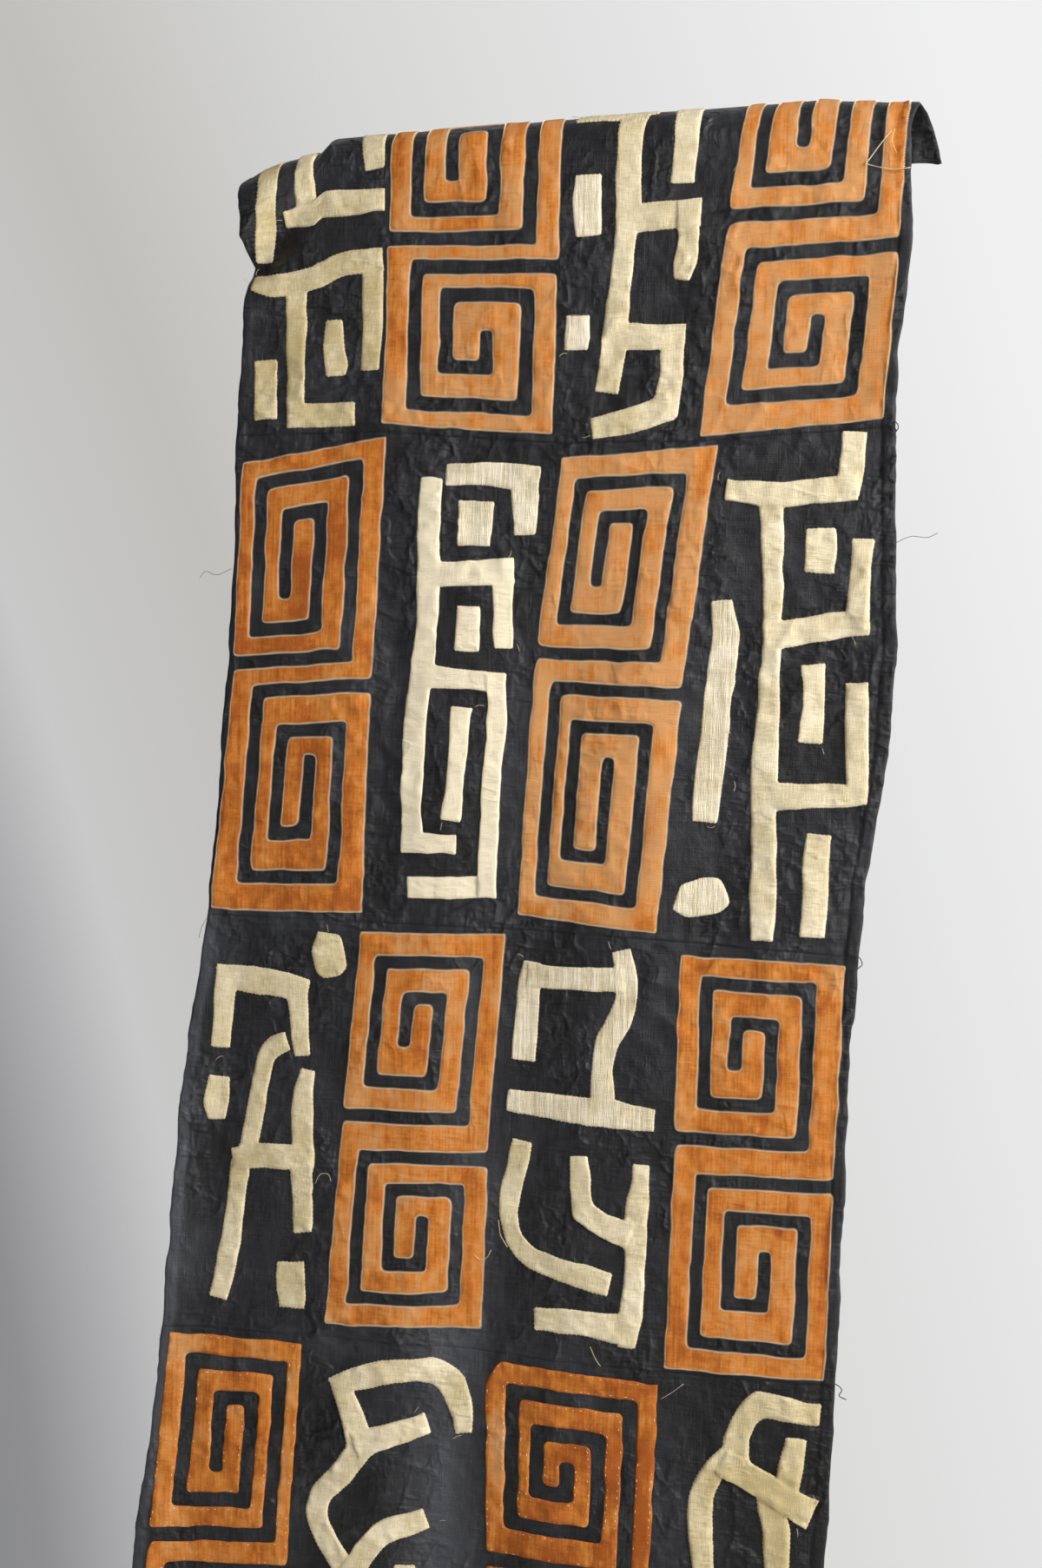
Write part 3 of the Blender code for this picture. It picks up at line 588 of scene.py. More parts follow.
def seam_s(seam, x):
    """s of a cross seam, the hem or the tail's end at x, in mm."""
    if seam == 0:
        return TAIL_END_AT + 1.6 * soft_noise(x, x * 0, 17, 94) + 1.2 * soft_noise(x, x * 0, 5, 95)
    return np.interp(x, column(SEAMS, 0), column(SEAMS, seam))


def edge_x(s, side):
    """x of the cloth's left (1) or right (2) edge at s, with a hand's wobble."""
    apart = s * 0 + 40 * side
    wobble = 1.5 * soft_noise(s, apart, 26, 91) + 0.6 * soft_noise(s, apart, 9, 92)
    return np.interp(s, column(EDGES, 0), column(EDGES, side)) + wobble


def relief(x, s):
    """What the hems and seams add to the front of the black cloth, in mm."""
    hem = settings().hem_width / MM
    from_right = edge_x(s, 2) - x
    from_left = x - edge_x(s, 1)
    puff = 0.25 * soft_noise(s, x * 0, 11, 93)
    total = (1.25 + puff) * smooth_step(hem + 0.6, hem - 1.6, from_right)
    total -= 0.55 * smooth_step(2.4, 0.6, np.abs(from_right - hem - 1.4))
    total += (0.75 + puff) * smooth_step(LEFT_HEM, LEFT_HEM - 2.5, from_left)
    for seam in range(1, PANEL_COUNT):
        below = s - seam_s(seam, x)
        total += (0.75 + puff) * smooth_step(-7.5, -5.5, below) * smooth_step(0.4, -1.0, below)
        total -= 0.5 * smooth_step(1.8, 0.2, np.abs(below))
    total += (0.9 + puff) * smooth_step(LOWER_HEM, LOWER_HEM - 2, seam_s(PANEL_COUNT, x) - s)
    return total


def hang(x, s, lift):
    """Places in metres of points of the cloth: x, s in mm, lift in mm out from the inner face."""
    x, s, lift = np.broadcast_arrays(np.asarray(x, float), np.asarray(s, float), np.asarray(lift, float))
    path = (s - CREST_AT) * MM
    angle = np.clip(path / FOLD_RADIUS, -np.pi / 2, np.pi / 2)
    height = fold_height(x, s)
    out = FOLD_RADIUS + (lift + height + crumple(x, s)) * MM
    past_fold = np.maximum(np.abs(path) - FOLD_RADIUS * np.pi / 2, 0)
    place_x = (x + FOLD_LEAN * height) * MM
    place_z = -FOLD_RADIUS - past_fold + out * np.cos(angle)
    place_z += CREST_RISE * x * MM * np.maximum(1 - np.abs(path) / RISE_FADES_AT, 0)
    sag = np.interp(x, column(CREST_SAG, 0), column(CREST_SAG, 1))
    reach = np.interp(x, column(CREST_SAG, 0), column(CREST_SAG, 2))
    place_z -= sag * MM * np.maximum(1 - np.maximum(path, 0) / (reach * MM), 0)
    return np.stack([place_x, -out * np.sin(angle), place_z], -1)


# Meshes

def mesh_object(name, verts, faces, flat=None, tone=None):
    """A smooth object from points and faces; the flat place of each point, in mm, becomes its UV map."""
    mesh = bpy.data.meshes.new(name)
    mesh.from_pydata([tuple(v) for v in verts], [], [tuple(f) for f in faces])
    if flat is not None:
        corner_verts = np.zeros(len(mesh.loops), np.int32)
        mesh.loops.foreach_get("vertex_index", corner_verts)
        layer = mesh.uv_layers.new(name="cloth")
        layer.data.foreach_set("uv", (np.asarray(flat)[corner_verts] * MM).astype(np.float32).ravel())
    if tone is not None:
        attribute = mesh.attributes.new("tone", "FLOAT", "POINT")
        attribute.data.foreach_set("value", np.asarray(tone, np.float32))
    mesh.shade_smooth()
    piece = bpy.data.objects.new(name, mesh)
    bpy.context.scene.collection.objects.link(piece)
    return piece


def steps(low, high, step, close):
    """Numbers from low to high about a step apart, with closer ones a few mm in from each end."""
    count = max(int((high - low - 2 * close[-1]) / step), 2)
    inner = np.linspace(low + close[-1], high - close[-1], count)
    return np.concatenate([low + np.array(close[:-1]), inner, high - np.array(close[:-1])[::-1]])


def black_panel(number):
    """A woven panel between two seams: front and back sheets joined round the edge."""
    step = settings().mesh_step / MM
    hem_steps = (0, 0.7, 1.6, 4, 7, 9, 11.5, 13.6, 15.4, 18)
    seam_steps = (0, 0.5, 1.2, 2.6, 5.2, 7.6, 10)
    mid = (seam_s(number - 1, np.zeros(1))[0], seam_s(number, np.zeros(1))[0])
    us = steps(0, 700, step, hem_steps) / 700
    vs = steps(0, mid[1] - mid[0], step, seam_steps) / (mid[1] - mid[0])
    u, v = np.meshgrid(us, vs)
    x = -350 + 700 * u
    for _ in range(5):
        s = seam_s(number - 1, x) * (1 - v) + seam_s(number, x) * v
        x = edge_x(s, 1) * (1 - u) + edge_x(s, 2) * u
    x, s = x.ravel(), s.ravel()
    thick = settings().ground_thick / MM
    from_side = np.minimum(x - edge_x(s, 1), edge_x(s, 2) - x)
    rim = np.minimum(from_side, np.minimum(s - seam_s(0, x), seam_s(PANEL_COUNT, x) - s))
    rounded = thick * 0.45 * smooth_step(1.6, 0, rim)
    front = hang(x, s, thick + relief(x, s) * smooth_step(-0.4, 1.6, rim) - rounded)
    hems = smooth_step(12, 10, edge_x(s, 2) - x) + smooth_step(11, 9, x - edge_x(s, 1))
    back = hang(x, s, rounded - 0.5 * hems * smooth_step(0, 1.6, rim))
    rows, columns = u.shape
    index = np.arange(rows * columns).reshape(rows, columns)
    quads = np.stack([index[:-1, :-1], index[1:, :-1], index[1:, 1:], index[:-1, 1:]], -1).reshape(-1, 4)
    border = np.concatenate([index[0, :], index[1:, -1], index[-1, -2::-1], index[-2:0:-1, 0]])
    after = np.roll(border, -1)
    count = rows * columns
    sides = np.stack([border, after, after + count, border + count], -1)
    faces = np.concatenate([quads, quads[:, ::-1] + count, sides])
    flat = np.stack([x, s], -1)
    # Painted sheen and painted shade, with some worn grey, go to the black's tone attribute
    grey = patches_at(WORN_SHEEN_AND_SHADE_PATCHES, x, s)
    # The left hem of the lower rows gets a painted sheen, lighter grey along its rolled edge
    grey += 0.5 * smooth_step(18, 10, x - edge_x(s, 1)) * smooth_step(760, 1000, s)
    both = (np.concatenate([part, part]) for part in (flat, grey))
    return mesh_object(f"black_panel_{number}", np.concatenate([front, back]), faces, *both)


# Outlines of the sewn-on shapes

def in_line(before, point, after):
    first, second = point - before, after - point
    return abs(first.x * second.y - first.y * second.x) < STRAIGHT * first.length * second.length


def union_outline(polygons):
    """The outline, anticlockwise, of flat polygons that overlap."""
    points = [Vector(p) for polygon in polygons for p in polygon]
    faces, start = [], 0
    for polygon in polygons:
        faces.append(list(range(start, start + len(polygon))))
        start += len(polygon)
    verts, _, triangles, _, _, origins = delaunay_2d_cdt(points, [], faces, 1, SAME_POINT)
    following = {}
    for triangle, origin in zip(triangles, origins):
        if origin:
            for a, b in zip(triangle, triangle[1:] + triangle[:1]):
                following[(a, b)] = True
    border = {a: b for a, b in following if (b, a) not in following}
    loop = [next(iter(border))]
    while border[loop[-1]] != loop[0]:
        loop.append(border[loop[-1]])
    outline = [verts[k] for k in loop]
    after = outline[1:] + outline[:1]
    return [p for k, p in enumerate(outline) if not in_line(outline[k - 1], p, after[k])]


def band_sides(stroke):
    """The two long sides of a band, from x, s and width along its middle."""
    lefts, rights = [], []
    middle = [Vector((x, s)) for x, s, _ in stroke]
    for k, (_, _, width) in enumerate(stroke):
        before = (middle[k] - middle[k - 1]).normalized() if k else None
        after = (middle[k + 1] - middle[k]).normalized() if k + 1 < len(stroke) else None
        before, after = before or after, after or before
        across = Vector((-before.y - after.y, before.x + after.x))
        across *= width / (1 + before.dot(after)) / 2
        lefts.append(middle[k] + across)
        rights.append(middle[k] - across)
    return lefts, rights


def spiral_outline(corners, slot_width, left_slot, right_slot, turned=None):
    """A block with its two slots cut in, and which of its corners belong to a slot."""
    tl, tr, ml, mr, bl, br = [Vector(corners[k:k + 2]) for k in range(0, 12, 2)]
    upper = slot_sides(slot_line(left_slot, tl, tr, ml, mr, enters_left=True), slot_width)
    lower = slot_sides(slot_line(right_slot, ml, mr, bl, br, enters_left=False), slot_width)
    top_left = [tl + Vector((0, turned[1])), tl + Vector((turned[0], 0))] if turned else [tl]
    first = [*top_left, tr, mr]
    outline = [*first, *lower, br, bl, ml, *upper]
    in_slot = [False] * len(first) + [True] * len(lower) + [False] * 3 + [True] * len(upper)
    return outline, in_slot


def slot_line(runs, tl, tr, bl, br, enters_left):
    """The middle line of a slot in one half of a block: its run lines lean as the half's sides do."""
    middle_left, middle_right = (tl + bl) / 2, (tr + br) / 2
    top, bottom = (tl + tr) / 2, (bl + br) / 2

    def place(x, s):
        p = (x - middle_left.x) / (middle_right.x - middle_left.x)
        q = (s - top.y) / (bottom.y - top.y)
        return (tl * (1 - p) + tr * p) * (1 - q) + (bl * (1 - p) + br * p) * q

    x, s = (middle_left.x if enters_left else middle_right.x), runs[0]
    line = [place(x, s)]
    for k, run in enumerate(runs[1:]):
        x, s = (run, s) if k % 2 == 0 else (x, run)
        line.append(place(x, s))
    return line


def slot_sides(line, width):
    lefts, rights = band_sides([(p.x, p.y, width) for p in line])
    return lefts + rights[::-1]


def rounded_outline(outline, in_slot=None):
    """The outline with its corners rounded as scissors cut them."""
    result = []
    for k, point in enumerate(outline):
        before, after = outline[k - 1], outline[(k + 1) % len(outline)]
        first, second = point - before, after - point
        turn = math.degrees(first.angle(second))
        reach = next(r for limit, r in ROUNDING if turn <= limit)
        if in_slot and in_slot[k]:
            reach = SLOT_ROUNDING
        reach = min(reach, 0.42 * first.length, 0.42 * second.length)
        start, end = point - first.normalized() * reach, point + second.normalized() * reach
        for share in (0, 0.25, 0.5, 0.75, 1):
            result.append(start * (1 - share) ** 2 + point * 2 * share * (1 - share) + end * share ** 2)
    return result


def cut_line(outline, step, seed):
    """Points about a step apart along a closed outline, with the wobble of a hand's cut."""
    ring = np.array([tuple(p) for p in outline])
    ring = ring[np.hypot(*(ring - np.roll(ring, 1, 0)).T) > 0.05]
    ends = np.roll(ring, -1, 0)
    lengths = np.hypot(*(ends - ring).T)
    points = []
    for start, end, length in zip(ring, ends, lengths):
        n = max(int(round(length / step)), 1)
        points.append(start + (end - start) * (np.arange(n) / n)[:, None])
    points = np.concatenate(points)
    x, s = points.T
    dx = 1.1 * soft_noise(x, s, 23, seed) + 0.5 * soft_noise(x, s, 8, seed + 1)
    ds = 1.1 * soft_noise(x, s, 23, seed + 2) + 0.5 * soft_noise(x, s, 8, seed + 3)
    return points + np.stack([dx, ds], -1)


def inward(ring):
    """Unit directions into a closed ring of points, whichever way round it runs."""
    along = np.roll(ring, -1, 0) - np.roll(ring, 1, 0)
    along /= np.maximum(np.hypot(*along.T), 1e-9)[:, None]
    x, s = ring.T
    area = (x * np.roll(s, -1) - np.roll(x, -1) * s).sum()
    return np.stack([-along[:, 1], along[:, 0]], -1) * np.sign(area)


def inside(points, ring):
    """Which points lie inside a closed ring."""
    result = np.zeros(len(points), bool)
    x, s = points.T
    for (x0, s0), (x1, s1) in zip(ring, np.roll(ring, -1, 0)):
        crosses = (s0 > s) != (s1 > s)
        if crosses.any():
            result ^= crosses & (x < (x1 - x0) * (s - s0) / (s1 - s0) + x0)
    return result


def nearest_ring(points, ring):
    """How far each point is from the ring's points."""
    result = np.empty(len(points))
    for start in range(0, len(points), 2000):
        part = points[start:start + 2000]
        gaps = part[:, None, :] - ring[None, :, :]
        result[start:start + 2000] = np.sqrt((gaps ** 2).sum(-1)).min(1)
    return result


def patches_at(table, x, s):
    """The sum at x, s of a table's soft-edged patches."""
    total = np.zeros(len(x))
    for middle_x, middle_s, across, down, amount in table:
        away = ((x - middle_x) / across) ** 2 + ((s - middle_s) / down) ** 2
        total += amount * np.exp(-away)
    return total


def laid_strips(strips, ring, near):
    """Points in two close lines along the edges of the strips laid over a shape, and which are raised."""
    points, raised = [np.zeros((0, 2))], [np.zeros(0, bool)]
    for strip in strips:
        for line, up in ((strip, False), (strip + inward(strip) * STRIP_LIFT, True)):
            kept = line[inside(line, ring)]
            kept = kept[nearest_ring(kept, ring) > near]
            points.append(kept)
            raised.append(np.full(len(kept), up))
    return np.concatenate(points), np.concatenate(raised)


def patch(name, ring, plump, tone, strips=(), ripple=1.0):
    """A shape of cloth sewn flat on the panel: its turned edge curves down to the panel."""
    step = settings().patch_step / MM
    normals = inward(ring)
    rings = [ring, ring + normals * 0.7, ring + normals * 2.0]
    seams, raised = laid_strips(strips, ring, 2.6)
    xs = np.arange(ring[:, 0].min(), ring[:, 0].max(), step)
    ss = np.arange(ring[:, 1].min(), ring[:, 1].max(), step * 0.87)
    gx, gs = np.meshgrid(xs, ss)
    gx = gx + (np.arange(len(ss)) % 2)[:, None] * step / 2
    grid = np.stack([gx.ravel(), gs.ravel()], -1)
    grid = grid[inside(grid, ring)]
    grid = grid[nearest_ring(grid, ring) > 3.6]
    if len(seams):
        grid = grid[nearest_ring(grid, seams) > 1.8]
    points = np.concatenate([*rings, seams, grid])
    n = len(ring)
    flat_level = FLAT_LIFT + 0.5 * plump
    levels = ((n, EDGE_LIFT), (n, TURN_LIFT), (n, TURN_LIFT + plump), (len(seams) + len(grid), flat_level))
    lifts = np.concatenate([np.full(count, level) for count, level in levels])
    over = np.zeros(len(points), bool)
    for strip in strips:
        over |= inside(points, strip)
    over[3 * n:3 * n + len(seams)] = raised
    over[:n] = False
    lifts += STRIP_LIFT * over
    flat_points = [Vector(p) for p in points]
    verts, _, faces, origins, _, _ = delaunay_2d_cdt(flat_points, [], [list(range(n))], 1, SAME_POINT)
    flat = np.array([tuple(v) for v in verts])
    lift = np.array([lifts[ids[0]] if ids else 0.0 for ids in origins])
    x, s = flat.T
    interior = smooth_step(0.8, 0.95, lift)
    puckers = 0.28 * soft_noise(x, s, 9, 31) + 0.22 * soft_noise(x * 0.5, s, 6, 32)
    wrinkled = smooth_step(-0.1, 0.5, soft_noise(x, s, 90, 33))
    puckers += ripple * wrinkled * crease_noise(x * 0.45 + s, s - 0.4 * x, 21, 34)
    waves = 0.5 + 0.5 * soft_noise(x - 0.35 * s, 0.6 * s + 0.2 * x, 9, 37)
    puckers += 1.7 * (ripple - 1) * waves
    puckers += 0.5 * smooth_step(-0.3, 0.4, soft_noise(x, s, 70, 35)) * soft_noise(x * 0.4, s, 10, 36)
    lift = lift + interior * puckers
    verts = hang(x, s, settings().ground_thick / MM + relief(x, s) + lift)
    # s runs down the cloth, so the flat winding is turned for faces that look out
    outward = [face[::-1] for face in faces]
    return mesh_object(name, verts, outward, flat, tone + patches_at(DYE_PATCHES, x, s))


# Threads

def tubes(name, paths, thick):
    """One mesh of many three-sided threads, each through the points of its path, in metres."""
    paths = np.asarray(paths, float)
    count, points = paths.shape[:2]
    along = np.gradient(paths, axis=1)
    along /= np.maximum(np.linalg.norm(along, axis=2, keepdims=True), 1e-12)
    side = np.cross(along, np.array([0.0, -1.0, 0.12]))
    side /= np.maximum(np.linalg.norm(side, axis=2, keepdims=True), 1e-12)
    up = np.cross(side, along)
    angles = (math.pi / 2, math.pi * 7 / 6, math.pi * 11 / 6)
    ring = [side * math.cos(a) + up * math.sin(a) for a in angles]
    verts = np.stack([paths + r * thick / 2 for r in ring], 2).reshape(-1, 3)
    base = (np.arange(count) * points * 3)[:, None]
    faces = []
    for k in range(points - 1):
        for a in range(3):
            b = (a + 1) % 3
            faces.append(base + np.array([[k * 3 + a, k * 3 + b, (k + 1) * 3 + b, (k + 1) * 3 + a]]))
    ends = [base + np.array([[0, 2, 1]]), base + np.array([[(points - 1) * 3 + a for a in range(3)]])]
    return mesh_object(name, verts, [*np.concatenate(faces), *np.concatenate(ends)])


def spaced_ring(ring, pitch):
    """Points a pitch apart along a closed ring, with their inward directions."""
    closed = np.concatenate([ring, ring[:1]])
    along = np.concatenate([[0], np.cumsum(np.hypot(*np.diff(closed, axis=0).T))])
    n = max(int(along[-1] / pitch), 3)
    at = np.arange(n) * along[-1] / n
    points = np.stack([np.interp(at, along, closed[:, k]) for k in (0, 1)], -1)
    return points, inward(points)


def overcast(name, ring):
    """Pale overcast stitches that wrap a block's turned edge."""
    points, normals = spaced_ring(ring, settings().stitch_pitch / MM)
    along = np.stack([normals[:, 1], -normals[:, 0]], -1)
    vary = np.random.default_rng(len(ring)).uniform(-0.35, 0.35, (len(points), 2))
    lean = 0.55
    outer = points - normals * (0.65 + vary[:, :1] * 0.6) - along * lean
    crown = points + normals * 0.3
    inner = points + normals * (1.40 + vary[:, 1:] * 1.5) + along * lean
    lifts = (0.15, 1.35, 1.2)
    base = settings().ground_thick / MM
    path = [hang(*p.T, base + relief(*p.T) + lift) for p, lift in zip((outer, crown, inner), lifts)]
    return tubes(name, np.stack(path, 1), settings().stitch_thick)


def running(name, ring):
    """White running stitches a little in from a block's edge."""
    points, normals = spaced_ring(ring + inward(ring) * 2.3, settings().running_pitch / MM)
    random = np.random.default_rng(len(ring))
    showing = random.uniform(0, 1, len(points)) < 0.35 + 0.5 * (soft_noise(*points.T, 60, 17) > -0.1)
    points, normals = points[showing], normals[showing]
    points = points + normals * random.uniform(-0.6, 0.8, (len(points), 1))
    along = np.stack([normals[:, 1], -normals[:, 0]], -1) * random.uniform(0.7, 1.9, (len(points), 1))
    base = settings().ground_thick / MM
    parts = ((points - along, 1.0), (points, 1.75), (points + along, 1.0))
    path = [hang(*p.T, base + relief(*p.T) + lift) for p, lift in parts]
    return tubes(name, np.stack(path, 1), settings().stitch_thick * 0.9)


def hem_tacks(ring):
    """Paths of small tacks that hold a cream shape's turned edge."""
    points, normals = spaced_ring(ring, TACK_PITCH)
    base = settings().ground_thick / MM
    vary = np.random.default_rng(len(ring)).uniform(-0.4, 0.4, (len(points), 1))
    along = np.stack([normals[:, 1], -normals[:, 0]], -1) * vary
    outer, crown = points - normals * 0.5 - along, points + normals * 0.2
    inner = points + normals * 1.1 + along
    parts = ((outer, 0.1), (crown, 1.05), (inner, 1.0))
    return np.stack([hang(*p.T, base + relief(*p.T) + lift) for p, lift in parts], 1)


def thread_paths(rows, points=6):
    """Paths of short thread ends that curl off the cloth."""
    random = np.random.default_rng(5)
    paths = []
    for x, s, direction, length in rows:
        angle = math.radians(direction)
        curl = random.uniform(-0.9, 0.9)
        rise = random.uniform(1.0, 3.0)
        share = np.linspace(0, 1, points)
        turned = angle + curl * share
        px = x + length * share * np.cos(turned)
        ps = s + length * share * np.sin(turned)
        paths.append(hang(px, ps, 2.4 + rise * share))
    return np.stack(paths)


def loose_paths(rows, points=12):
    """Paths of the longer loose threads, eased through their points."""
    paths = []
    for row in rows:
        given = np.array(row, float)
        at = np.linspace(0, len(row) - 1, points)
        eased = [np.interp(at, np.arange(len(row)), given[:, k]) for k in range(3)]
        for k in range(3):
            values = eased[k]
            values[1:-1] = (values[:-2] + 2 * values[1:-1] + values[2:]) / 4
        paths.append(hang(eased[0], eased[1], 1.2 + eased[2]))
    return np.stack(paths)


# Materials

class Wiring:
    """Adds nodes to one material and joins them up."""

    def __init__(self, name):
        self.material = bpy.data.materials.new(name)
        self.material.use_nodes = True
        self.tree = self.material.node_tree
        self.shader = self.tree.nodes["Principled BSDF"]
        self.flat = self.add("ShaderNodeUVMap")
        self.flat.uv_map = "cloth"

    def add(self, kind, inputs=None, **settings_of):
        node = self.tree.nodes.new(kind)
        for key, value in settings_of.items():
            setattr(node, key, value)
        for key, value in (inputs or {}).items():
            if isinstance(value, bpy.types.NodeSocket):
                self.tree.links.new(value, node.inputs[key])
            else:
                node.inputs[key].default_value = value
        return node

    def join(self, socket, target):
        self.tree.links.new(socket, target)

    def sum(self, kind, first, second):
        return self.add("ShaderNodeMath", {0: first, 1: second}, operation=kind).outputs[0]

    def noise(self, across, down, detail=2.0, rough=0.5):
        """Noise on the flat cloth with this many bumps a metre across and down."""
        placing = {"Vector": self.flat.outputs[0], "Scale": (across, down, 1.0)}
        mapped = self.add("ShaderNodeMapping", placing)
        values = {"Vector": mapped.outputs[0], "Scale": 1.0, "Detail": detail, "Roughness": rough}
        return self.add("ShaderNodeTexNoise", values).outputs["Fac"]

    def ridges(self, across, down, width=0.09):
        """Narrow creases, 1 along lines that wander over the flat cloth and 0 beside them."""
        away = self.sum("SUBTRACT", self.noise(across, down, 3), 0.5)
        away = self.add("ShaderNodeMath", {0: away}, operation="ABSOLUTE").outputs[0]
        return self.within(away, 0.0, width, 1.0, 0.0)

    def within(self, value, low, high, to_low=0.0, to_high=1.0):
        ends = {"From Min": low, "From Max": high, "To Min": to_low, "To Max": to_high}
        return self.add("ShaderNodeMapRange", {"Value": value, **ends}).outputs[0]

    def blend(self, share, first, second, how="MIX"):
        node = self.add("ShaderNodeMix", data_type="RGBA", blend_type=how)
        for socket, value in ((node.inputs[0], share), (node.inputs[6], first), (node.inputs[7], second)):
            if isinstance(value, bpy.types.NodeSocket):
                self.tree.links.new(value, socket)
            else:
                socket.default_value = value
        return node.outputs[2]

    def interlaced(self, pitch):
        """Over and under of a plain weave: 1 and -1 in turn, a thread's pitch apart."""
        parts = self.add("ShaderNodeSeparateXYZ", {0: self.flat.outputs[0]})
        waves = []
        for axis in (0, 1):
            scaled = self.sum("MULTIPLY", parts.outputs[axis], math.pi / pitch)
            bent = self.sum("ADD", scaled, self.within(self.noise(70, 70, 1), 0, 1, -2.5, 2.5))
            waves.append(self.add("ShaderNodeMath", {0: bent}, operation="SINE").outputs[0])
        return self.sum("MULTIPLY", *waves)

    def bump(self, height, distance, strength):
        bumped = self.add("ShaderNodeBump", {"Height": height, "Distance": distance, "Strength": strength})
        self.join(bumped.outputs[0], self.shader.inputs["Normal"])


def opaque(colour, factor=1.0):
    return (colour[0] * factor, colour[1] * factor, colour[2] * factor, 1.0)


def black_raffia():
    """Dyed ground: fine weave, worn grey in clouds and along fibres, painted sheen and shade from its tone;
    dull gloss.
    """
    wiring = Wiring("black_raffia")
    warp, weft = wiring.noise(850, 28), wiring.noise(28, 850)
    fibres = wiring.sum("ADD", warp, weft)
    clouds = wiring.noise(9, 6, 5, 0.62)
    scuffs = wiring.noise(60, 45, 4, 0.6)
    wear_and_sheen = wiring.within(clouds, 0.44, 0.75, 0, 0.30)
    wear_and_sheen = wiring.sum("ADD", wear_and_sheen, wiring.within(fibres, 0.8, 1.4, 0, 0.38))
    wear_and_sheen = wiring.sum("ADD", wear_and_sheen, wiring.within(scuffs, 0.55, 0.75, 0, 0.32))
    # The tone attribute adds painted sheen and painted shade to the worn grey
    wear_and_sheen = wiring.sum("ADD", wear_and_sheen, tone_of(wiring))
    colour = wiring.blend(wear_and_sheen, opaque(dyes().black), opaque(dyes().black_worn_and_sheen))
    wiring.join(colour, wiring.shader.inputs["Base Color"])
    rough = wiring.within(wiring.sum("ADD", clouds, scuffs), 0.75, 1.25, 0.54, 0.28)
    wiring.join(rough, wiring.shader.inputs["Roughness"])
    wiring.shader.inputs["Specular IOR Level"].default_value = 0.24
    height = wiring.sum("ADD", fibres, wiring.sum("MULTIPLY", wiring.interlaced(0.0011), 0.35))
    creased = wiring.sum("MULTIPLY", wiring.noise(75, 60, 4, 0.62), 6.0)
    slack = wiring.within(wiring.noise(11, 8, 2), 0.40, 0.58, 0.3, 3.8)
    sharp = wiring.sum("ADD", wiring.ridges(26, 19), wiring.ridges(17, 38))
    creased = wiring.sum("ADD", creased, wiring.sum("MULTIPLY", sharp, slack))
    wiring.bump(wiring.sum("ADD", height, creased), 0.00045, 1.0)
    return wiring.material


def tone_of(wiring):
    return wiring.add("ShaderNodeAttribute", attribute_name="tone").outputs["Fac"]


def orange_raffia():
    """Dyed blocks: uneven dye in clouds, drips and along the fibres, rubbed paler in small specks."""
    wiring = Wiring("orange_raffia")
    warp, weft = wiring.noise(800, 60), wiring.noise(60, 800)
    fibres = wiring.sum("ADD", warp, weft)
    clouds = wiring.noise(24, 14, 6, 0.62)
    blots = wiring.noise(75, 60, 5, 0.6)
    dye = wiring.sum("ADD", tone_of(wiring), wiring.within(clouds, 0.30, 0.70, -0.48, 0.48))
    dye = wiring.sum("ADD", dye, wiring.within(blots, 0.3, 0.7, -0.30, 0.30))
    dye = wiring.sum("ADD", dye, wiring.within(fibres, 0.75, 1.25, -0.17, 0.17))
    dye = wiring.sum("ADD", dye, wiring.within(wiring.noise(380, 11, 3), 0.3, 0.7, -0.24, 0.24))
    pale, usual, deep = opaque(dyes().orange_pale), opaque(dyes().orange), opaque(dyes().orange_deep)
    colour = wiring.blend(wiring.within(dye, 0.0, 0.55), pale, usual)
    colour = wiring.blend(wiring.within(dye, 0.5, 1.15), colour, deep)
    brown = wiring.noise(17, 11, 4, 0.7)
    colour = wiring.blend(wiring.within(brown, 0.60, 0.80, 0, 0.35), colour, (0.18, 0.07, 0.02, 1.0))
    rubbed = wiring.within(wiring.noise(300, 260, 3), 0.60, 0.78, 0, 0.25)
    colour = wiring.blend(rubbed, colour, opaque(dyes().orange_pale, 1.25))
    wiring.join(colour, wiring.shader.inputs["Base Color"])
    wiring.shader.inputs["Roughness"].default_value = 0.72
    wiring.shader.inputs["Specular IOR Level"].default_value = 0.2
    height = wiring.sum("ADD", fibres, wiring.sum("MULTIPLY", wiring.interlaced(0.0012), 0.35))
    creased = wiring.sum("MULTIPLY", wiring.noise(60, 110, 4, 0.6), 3.4)
    slack = wiring.within(wiring.noise(12, 9, 2), 0.42, 0.60, 0.0, 1.9)
    sharp = wiring.sum("ADD", wiring.ridges(14, 44), wiring.ridges(34, 16))
    creased = wiring.sum("ADD", creased, wiring.sum("MULTIPLY", sharp, slack))
    wiring.bump(wiring.sum("ADD", height, creased), 0.00040, 1.0)
    return wiring.material


